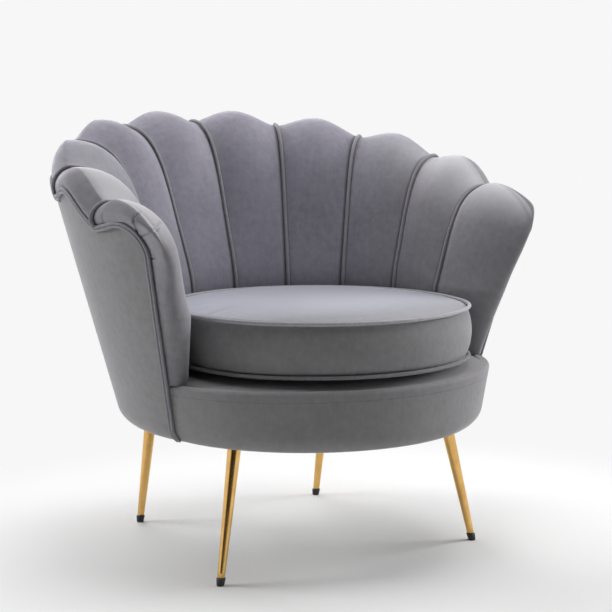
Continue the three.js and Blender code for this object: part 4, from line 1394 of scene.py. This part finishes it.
        def grid(depth: float) -> Grid:
            """All columns at one depth below the surface.

            Args:
                depth: How far below the surface.

            Returns:
                Points, (rows, columns, 3).
            """
            inset, z = (part[:, None] for part in self.under_turn(UNDER_TURN, depth))
            u = y[None] / corner_y
            low = form.on_cone(-form.front_ahead(z) * u, z + 0 * u, inset)
            foot_y = -form.front_ahead(np.float64(form.side_foot))
            edge_z = mix(form.side_foot, corner_z, v)[:, None]
            vv = v[:, None]
            along_y = mix(foot_y * u, y[None], vv) - u * form.front_ahead(edge_z) - u * mix(foot_y, corner_y, vv)
            seam_z = mix(form.side_foot, form.arm_welt, vv)
            corners = mix(form.side_foot, mix(form.arm_welt, corner_z, u), vv)
            along_z = mix(form.side_foot, form.arm_top(y)[None], vv) + mix(seam_z, edge_z, u) - corners
            arm = np.concatenate([low, form.on_cone(along_y, along_z, depth)], 0)
            under = form.placed(angle, form.off_axis(angle, form.cone(z) - inset), z)
            height = mix(form.side_foot, form.welt_base(angle) + form.scallop(angle), vv)
            side = form.placed(angle, form.off_axis(angle, form.cone(height) - depth), height)
            return np.concatenate([arm, np.concatenate([under, side], 0), mirrored(arm)[:, ::-1][:, 1:]], 1)

        piece = slab("outside_velvet", grid(0.0), grid(form.skin))
        dress(piece, self.outer_velvet, "velvet", "outside_cover")

    def double_welt(self) -> None:
        """Two cords side by side, up one arm's front, along the scallops, and down the other arm's front."""
        form = self.form
        behind = form.gap / 2 - self.welt_behind
        # from under the base, up the arm's front, over its top, and along the scallops to the back's middle
        turns = np.radians(np.linspace(45, 90, 8))
        inset, z = self.under_turn(turns, 0.0)
        low = form.on_cone(-form.front_ahead(z) - behind, z, inset)
        tilt = form.cone_normal(low) * np.sin(turns)[:, None] - np.array([0, 0, 1.0]) * np.cos(turns)[:, None]
        z = np.linspace(form.side_foot, form.corner_height + form.corner_radius * math.sin(math.pi / 4), 70)[1:-1]
        rise = form.on_cone(-form.front_ahead(z) - behind, z)
        y = self.top_depth(np.linspace(0, 1, 49))[::-1]
        over = form.on_cone(y, form.arm_top(y) + behind)
        angle = np.linspace(form.last, 0, 4 * 40 + 1)
        top = form.welt_base(angle) + form.scallop(angle) + behind
        back = form.placed(angle, form.off_axis(angle, form.cone(top)), top)
        upper = np.concatenate([rise, over, back])
        path = np.concatenate([low, upper])
        normal = np.concatenate([unit(tilt), form.cone_normal(upper)])
        path, normal = (np.concatenate([half, mirrored(half)[::-1][1:]]) for half in (path, normal))
        seat = self.welt_seat + self.welt_radius
        cords = [tube(path, normal, self.welt_radius, 12, (s * self.welt_pitch / 2, seat)) for s in (-1, 1)]
        dress(joined("double_welt_cords", cords), self.cord_velvet, "velvet_cord", "double_welt")

    def rail_end(self, z: Grid, inset: Grid) -> Grid:
        """Angle at which the rail's cover meets the arm's front edge: acos(-ahead / (rail - inset)), settled.

        Args:
            z: Heights.
            inset: Distances inside the rail's oval.

        Returns:
            Angles in degrees.
        """
        ahead = self.form.front_ahead(z) + self.form.gap
        angle = np.full_like(z, self.form.last)
        for _ in range(8):  # each pass starts from the rail's reach at the last angle
            angle = np.degrees(np.arccos(-ahead / (self.form.rail(angle, z) - inset)))
        return angle

    def front_rail(self, velvet: bpy.types.Material) -> None:
        """The rail's cover: under the base, up the oval front and over its rounded lip.

        Args:
            velvet: Its material.
        """
        form = self.form
        lip = np.radians(np.linspace(90, 0, 9))

        def grid(depth: float) -> Grid:
            """All rows at one depth below the surface.

            Args:
                depth: How far below the surface.

            Returns:
                Points, (rows, columns, 3).
            """
            inset, z = self.under_turn(UNDER_TURN, depth)
            radius = form.rail_lip_radius - depth
            lip_inset = form.rail_lip_radius - radius * np.sin(lip)
            lip_z = form.deck_height - form.rail_lip_radius + radius * np.cos(lip)
            middle = np.linspace(z[-1], lip_z[0], 14)[1:-1]
            upright = mix(inset[-1], lip_inset[0], np.linspace(0, 1, len(middle)))
            z = np.concatenate([z, middle, lip_z, [form.deck_height - depth]])
            inset = np.concatenate([inset, upright, lip_inset, [form.rail_lip_width]])
            end = self.rail_end(z, inset)[:, None]
            angle = mix(360 - end, end, np.linspace(0, 1, 121)[None])
            return form.placed(angle, form.rail(angle, z[:, None]) - inset[:, None], z[:, None])

        piece = slab("rail_velvet", grid(0.0), grid(form.skin))
        dress(piece, velvet, "velvet", "front_rail_cover")


@dataclass
class Cushion:
    """The loose round cushion with its two pipings, its zip, and the deck that it lies on."""

    form: ShellForm
    velvet: bpy.types.Material
    deck_velvet: bpy.types.Material
    pipings: tuple[bpy.types.Material, bpy.types.Material]
    radius: float = 0.245
    forward: float = 0.017
    top: float = 0.411
    bottom: float = 0.329
    crown: float = 0.014
    under_crown: float = 0.0032
    under_power: int = 4
    crown_powers: tuple[int, float] = (6, 0.8)
    bulge: float = 0.006
    bulge_power: float = 0.7
    edge: float = 0.0045
    piping: float = 0.003
    swelling: float = 0.004
    front_fullness: float = 0.003
    spread: float = 0.0055
    spread_angle: float = 56.0
    spread_width: float = 17.0
    full_to: float = 75.0
    full_over: float = 25.0
    rim_from: float = 0.140
    rim_over: float = 0.090
    pin_inset: float = 0.011
    pin_height: float = 0.006
    pin_under: float = 0.003
    deck_radius: float = 0.286
    deck_seam: float = 0.0001

    def profile(self) -> tuple[Grid, Grid]:
        """The cushion's section, from the underside's middle out, up the bulging border and over the crown.

        The underside falls by under_crown * (1 - s^power), the border bulges by sin(pi t)^power,
        and the crown rises by crown * (1 - c^a)^b, with s and c the share of the radius.

        Returns:
            (radii, heights).
        """
        face = self.radius - self.edge
        spare = self.swelling
        s = np.linspace(0.02, 1, 26)
        low_z = self.bottom - self.under_crown * (1 - s**self.under_power)
        t = np.linspace(0, 1, 26)
        side = np.sin(np.pi * t) ** self.bulge_power
        side_r = face + (self.bulge + self.edge - spare) * side
        side_z = mix(self.bottom, self.top, t)
        c = np.sin(np.linspace(np.pi / 2, 0.02, 60))
        flat, round_off = self.crown_powers
        crown_z = self.top + (self.crown - spare) * (1 - c**flat) ** round_off
        r = np.concatenate([face * s, side_r[1:-1], face * c])
        return r, np.concatenate([low_z, side_z[1:-1], crown_z])

    def build(self) -> None:
        """Makes the cushion's pieces and the deck."""
        centre = np.array([0.0, self.form.depth - self.forward])
        r, z = self.profile()
        body = lathe("cushion_body", r, z, centre, 128)
        body = inflated(body, self.pinned, cap=self.swelling)
        self.fill_front(body.data)
        dress(body, self.velvet, "velvet", "seat_cushion", body="cushion")
        turn = 2 * np.pi * np.append(np.arange(16), 0) / 16
        radius = self.radius + self.form.gap + self.piping * np.cos(turn)
        for edge, height, velvet in zip(("top", "bottom"), (self.top, self.bottom), self.pipings):
            rise = height + self.piping * np.sin(turn)
            ring = lathe(f"cushion_piping_{edge}", radius, rise, centre, 160, tops=False)
            self.fill_front(ring.data)
            dress(ring, velvet, "velvet_cord", f"cushion_{edge}_piping", body="cushion")
        self.deck()

    def pinned(self, points: Grid) -> Grid:
        """The underside, and what lies within a few millimetres of the two pipings.

        Args:
            points: Points, (n, 3).

        Returns:
            True for each point that stays.
        """
        x, y, z = points.T
        rim = np.hypot(x, y - self.form.depth + self.forward) > self.radius - self.pin_inset
        beside = np.minimum(abs(z - self.top), abs(z - self.bottom)) < self.pin_height
        return (rim & beside) | (z < self.bottom + self.pin_under)

    def fill_front(self, mesh: bpy.types.Mesh) -> None:
        """Moves points outwards where no arm holds the cushion.

        All that lies near the rim moves by spread * e^-((azimuth - angle) / width)^2 beside each arm's front,
        and the border's middle also by fullness * sin(pi t).

        Args:
            mesh: The piece's mesh.
        """
        points = points_of(mesh)
        flat = points[:, :2] - np.array([0.0, self.form.depth - self.forward])
        off = np.maximum(np.linalg.norm(flat, axis=-1), 1e-6)
        azimuth = np.degrees(np.arctan2(np.abs(flat[:, 0]), -flat[:, 1]))
        up = np.clip((points[:, 2] - self.bottom) / (self.top - self.bottom), 0, 1)
        move = self.spread * np.exp(-(((azimuth - self.spread_angle) / self.spread_width) ** 2))
        move = move + self.front_fullness * np.sin(np.pi * up) * smooth((self.full_to - azimuth) / self.full_over)
        points[:, :2] += (move * smooth((off - self.rim_from) / self.rim_over) / off)[:, None] * flat
        set_points(mesh, points)

    def deck(self) -> None:
        """The deck pad: an oval dome, height + crown * (1 - share^2), above an upright edge."""
        form = self.form
        low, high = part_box("deck_pad")
        angle = np.linspace(0, -360, 121)[:-1]
        lip = form.rail(angle, np.float64(form.deck_height)) - form.rail_lip_width - self.deck_seam
        reach = np.minimum(self.deck_radius, lip)
        share = np.concatenate([[1.0, 1.0], np.linspace(0.985, 0.02, 24)])
        dome = form.deck_height + (high.z - form.deck_height) * (1 - share[2:] ** 2)
        z = np.concatenate([[low.z, form.deck_height], dome])
        points = form.placed(angle[None], share[:, None] * reach[None], z[:, None])
        verts, fans = poled(points, np.array([[0, form.depth, low.z], [0, form.depth, z[-1]]]))
        quads = np.concatenate([grid_quads(len(share), len(angle), wrap=True), *fans])
        pad = finish_mesh("deck_velvet", verts, quads, verts[:, :2])
        dress(pad, self.deck_velvet, "velvet", "deck_pad")


@dataclass
class Legs:
    """The four tapered legs with their studs and black foot caps."""

    depth: float
    brass: bpy.types.Material
    rubber: bpy.types.Material
    front_foot: tuple[float, float] = (0.245, -0.126)
    front_top: tuple[float, float] = (0.203, -0.0995)
    rear_foot: tuple[float, float] = (0.185, 0.280)
    rear_top: tuple[float, float] = (0.1805, 0.2345)
    top_radius: float = 0.011
    tip_radius: float = 0.006
    stud_radius: float = 0.004
    cap_radius: float = 0.0074
    cap_height: float = 0.012
    stud_length: float = 0.024
    tip_height: float = 0.0125
    taper_from: float = 0.0123
    base_gap: float = 0.0003
    chamfer: float = 0.0006
    cap_chamfer: float = 0.0008
    cap_shoulder: float = 0.001

    def build(self) -> None:
        """Makes each leg and its cap."""
        for place, foot, top in (("front", self.front_foot, self.front_top), ("rear", self.rear_foot, self.rear_top)):
            for side in Side:
                self.leg(f"{place}_{side.name.lower()}", np.array(foot), np.array(top), side.value)

    def leg(self, place: str, foot: Grid, top: Grid, side: int) -> None:
        """One leg, of circles that shrink down a slanting axis with a stud on their top, and its cap.

        Args:
            place: Name of its corner.
            foot: (x, y) on the floor.
            top: (x, y) under the base.
            side: 1 for the right, -1 for the left.
        """
        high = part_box(f"leg_{place}")[1]
        neck = high.z - self.stud_length
        shaft = np.linspace(self.tip_height + self.chamfer, neck - self.chamfer, 30)
        z = np.concatenate([[self.tip_height], shaft, [neck]])
        radius = mix(self.tip_radius, self.top_radius, (z - self.taper_from) / (neck - self.taper_from))
        radius[[0, -1]] -= self.chamfer
        z = np.concatenate([z, [neck, high.z]])
        radius = np.concatenate([radius, [self.stud_radius] * 2])

        def axis(share: Grid) -> Grid:
            """Points of the slanting axis, by the share of the way up."""
            return mix(foot[None], top[None], share[:, None]) * np.array([side, 1]) + np.array([0, self.depth])

        leg = lathe(f"brass_leg_{place}", radius, z, axis(np.clip(z / (neck + self.base_gap), 0, 1)), 48)
        dress(leg, self.brass, "gold_metal", f"leg_{place}")
        z = np.array([0.0, self.cap_chamfer, self.cap_height - self.cap_shoulder, self.cap_height])
        inner = self.tip_radius - self.cap_chamfer, self.tip_radius
        radius = np.array([*inner, self.cap_radius, self.cap_radius - self.cap_chamfer])
        cap = lathe(f"rubber_cap_{place}", radius, z, axis(z / neck), 40)
        dress(cap, self.rubber, "black_plastic", f"foot_cap_{place}")


NODE_FINISHES = {
    "lining": ("dust_cover", "cushion_zip"),
    "plywood": ("base_board", "seat_ring", "front_rail_panel", "leg_block", "top_hoop", "back_rib"),
    "webbing": ("strap_",),
    "steel": ("leg_insert",),
}


@dataclass
class HiddenFrame:
    """The CAD's own frame parts, which keep their meshes and get full finishes."""

    finishes: dict[str, bpy.types.Material]

    def build(self) -> None:
        """Gives each shown CAD node the finish of its kind."""
        for name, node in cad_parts.items():
            for kind, starts in NODE_FINISHES.items():
                if name.startswith(starts):
                    node.data.materials.clear()
                    node.data.materials.append(self.finishes[kind])


@dataclass(frozen=True)
class Lamp:
    """A square soft box that faces the chair."""

    name: str
    place: tuple[float, float, float]
    size: float
    power: float
    aim_height: float = 0.42

    def build(self, depth: float) -> None:
        """Makes the lamp at its place from the seat's axis, aimed at the chair's middle.

        Args:
            depth: Depth of the seat's axis.
        """
        data = bpy.data.lights.new(self.name, "AREA")
        data.shape, data.size, data.energy = "SQUARE", self.size, self.power
        lamp = linked(self.name, data)
        lamp.location = (self.place[0], self.place[1] + depth, self.place[2])
        aim = np.array([0.0, depth, self.aim_height]) - np.array(lamp.location)
        tilt = math.atan2(math.hypot(aim[0], aim[1]), -aim[2])
        lamp.rotation_euler = (tilt, 0, math.atan2(aim[1], aim[0]) - math.pi / 2)


LAMPS = (
    Lamp("left_behind", (-1.8, 1.2, 1.3), 1.2, 33.0),
    Lamp("overhead", (0.3, -0.1, 2.6), 1.6, 34.0),
    Lamp("fill", (1.5, -2.5, 1.7), 1.8, 9.0),
    Lamp("right_side", (2.6, -0.6, 1.5), 1.4, 56.0),
    Lamp("behind", (0.2, 2.4, 1.6), 1.8, 48.0),
)


@dataclass
class Studio:
    """Pale floor and backdrop, soft lamps, and the camera at the photograph's angle."""

    depth: float
    camera_place: tuple[float, float, float] = (-1.3749, -2.1931, 0.7380)
    aim: tuple[float, float] = (0.19850, 7.32090)
    azimuth: float = -32.08257
    lens: float = 92.371
    sensor_width: float = 36.0
    sight: tuple[float, float] = (0.05, 60.0)
    paper: float = 0.80
    white: float = 0.93
    surround: float = 0.06
    dark: float = 0.03
    dark_from: float = -0.80
    dark_to: float = -0.60
    paper_reach: float = 9.0
    backdrop_ahead: float = 2.6
    backdrop_bend: float = 1.6
    backdrop_height: float = 7.0
    shadow_middle: tuple[float, float] = (0.04, -0.08)
    shadow_from: float = 0.36
    shadow_to: float = 0.94

    def build(self) -> None:
        """Makes the stage."""
        self.view()
        self.sweep()
        self.world()
        for lamp in LAMPS:
            lamp.build(self.depth)
        bpy.context.scene.view_settings.view_transform = "Standard"

    def view(self) -> None:
        """The camera, placed from the seat's axis."""
        data = bpy.data.cameras.new("camera")
        data.lens, data.sensor_width = self.lens, self.sensor_width
        data.clip_start, data.clip_end = self.sight
        made = linked("camera", data)
        x, y, z = self.camera_place
        made.location = (x, y + self.depth, z)
        heading = self.azimuth + self.aim[0]
        made.rotation_euler = (math.radians(90 - self.aim[1]), 0, math.radians(heading))
        bpy.context.scene.camera = made

    def sweep(self) -> None:
        """Floor and backdrop in one sheet: flat, then a quarter circle, then upright, facing the camera.

        Near the chair the paper is plain and takes its shadow. Away from it, rays that see the paper
        find it white, by a smooth step of the distance from the shadow's middle.
        """
        turn = np.linspace(0, np.pi / 2, 24)
        ahead, bend, reach = self.backdrop_ahead, self.backdrop_bend, self.paper_reach
        along = np.concatenate([[-reach], ahead + bend * np.sin(turn), [ahead + bend]])
        height = np.concatenate([[0.0], bend * (1 - np.cos(turn)), [self.backdrop_height]])
        across = np.array([-reach, reach])
        a = math.radians(-self.azimuth)
        x = across[None] * math.cos(a) + along[:, None] * math.sin(a)
        y = -across[None] * math.sin(a) + along[:, None] * math.cos(a)
        points = stack(x, y + self.depth, height[:, None] + 0 * x)
        floor = finish_mesh("studio_sweep", points.reshape(-1, 3), grid_quads(len(along), 2))
        shade = Shade(bpy.data.materials.new("studio_paper"))
        middle = (self.shadow_middle[0], self.depth + self.shadow_middle[1], 0.0)
        away = shade.object_place().vector("DISTANCE", middle, "Value")
        inputs = {0: away, 1: self.shadow_from, 2: self.shadow_to}
        far = shade.node("ShaderNodeMapRange", {"interpolation_type": "SMOOTHSTEP"}, inputs)
        seen = (shade.ray("Camera") + shade.ray("Glossy") + shade.ray("Transmission")) * far
        paper = shade.node("ShaderNodeBsdfDiffuse", None, {"Color": (self.paper,) * 3 + (1.0,)})
        glow = shade.node("ShaderNodeEmission", None, {"Color": (self.white,) * 3 + (1.0,), "Strength": 1.0})
        mixed = shade.node("ShaderNodeMixShader", None, {0: seen, 1: paper, 2: glow})
        shade.node("ShaderNodeOutputMaterial", None, {"Surface": mixed})
        floor.data.materials.append(shade.owner)

    def world(self) -> None:
        """A dim surround. The camera sees it white, and polished metal too, but for the dark room behind the camera."""
        shade = Shade(bpy.data.worlds.new("studio_world"))
        camera = shade.ray("Camera")
        a = math.radians(-self.azimuth)
        way = shade.node("ShaderNodeTexCoord", output="Generated")
        ahead = way.vector("DOT_PRODUCT", (math.sin(a), math.cos(a), 0.0), "Value")
        inputs = {0: ahead, 1: self.dark_from, 2: self.dark_to, 3: self.dark, 4: self.white}
        bright = shade.node("ShaderNodeMapRange", None, inputs)
        lit = (camera * self.white).larger(bright)
        soft = shade.node("ShaderNodeBackground", None, {0: (1.0, 1.0, 1.0, 1.0), 1: self.surround})
        white = shade.node("ShaderNodeBackground", None, {0: lit})
        seen = camera.larger(shade.ray("Glossy"))
        both = shade.node("ShaderNodeMixShader", None, {0: seen, 1: soft, 2: white})
        shade.node("ShaderNodeOutputWorld", None, {0: both})
        bpy.context.scene.world = shade.owner


def main() -> None:
    """Builds the chair's looks and the stage in order, and reports each piece."""
    logging.basicConfig(level=logging.INFO, format="%(name)s: %(message)s")
    low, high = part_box("seat_cushion")
    depth = (low.y + high.y) / 2 + Cushion.forward
    form = ShellForm(depth)
    outside = (0.285, 0.279, 0.286), (0.200, 0.195, 0.200)
    rail = Velvet("velvet_rail", *outside, crease=0.2955).build()
    outer = Velvet("velvet_outside", *outside).build()
    # The inside is the outside's cloth; its cooler, lighter colour behind is painted light.
    inner = Velvet("velvet_inside_painted_light", (0.320, 0.307, 0.362), (0.190, 0.182, 0.216), seat_axis=depth).build()
    cord = CordVelvet("velvet_cord_wrap", (0.310, 0.302, 0.328), (0.210, 0.204, 0.220)).build()
    cover = Upholstery(form, replace(form, settled=0.006), inner, outer, cord)
    cover.channels()
    cover.seam_welts()
    cover.outside_cover()
    cover.double_welt()
    cover.front_rail(rail)
    # The cushion's lighter, bluer top colour is a painted highlight.
    seat = Velvet("velvet_cushion", (0.280, 0.274, 0.283), (0.200, 0.196, 0.202), (0.420, 0.432, 0.500), mapped=False)
    # One piping cloth in two copies: the top one's lighter colour is painted light, the bottom one's darker colour
    # painted shade.
    light = CordVelvet("velvet_piping_top_painted_light", (0.480, 0.470, 0.505), (0.330, 0.322, 0.345))
    dark = CordVelvet("velvet_piping_bottom_painted_shade", (0.240, 0.235, 0.250), (0.170, 0.166, 0.176))
    Cushion(form, seat.build(), outer, (light.build(), dark.build())).build()
    rubber = Grained("black_rubber", (0.022, 0.022, 0.023), (0.012, 0.012, 0.013), scale=200.0, rough=0.5)
    Legs(depth, Brass("polished_brass").build(), rubber.build()).build()
    finishes = {
        "lining": Grained("spun_lining", (0.030, 0.030, 0.032), (0.015, 0.015, 0.016), scale=400.0, rough=0.85),
        "plywood": Grained("plywood", (0.62, 0.45, 0.27), (0.46, 0.31, 0.17), (1.0, 14.0, 3.0), 9.0, 0.62),
        "webbing": Grained("woven_webbing", (0.30, 0.22, 0.14), (0.18, 0.13, 0.08), (1.0, 40.0, 1.0), 30.0, 0.85),
        "steel": Grained("zinc_steel", (0.62, 0.62, 0.64), (0.48, 0.48, 0.50), scale=90.0, rough=0.28, metallic=1.0),
    }
    HiddenFrame({kind: finish.build() for kind, finish in finishes.items()}).build()
    Studio(depth).build()


if __name__ == "__main__":
    main()
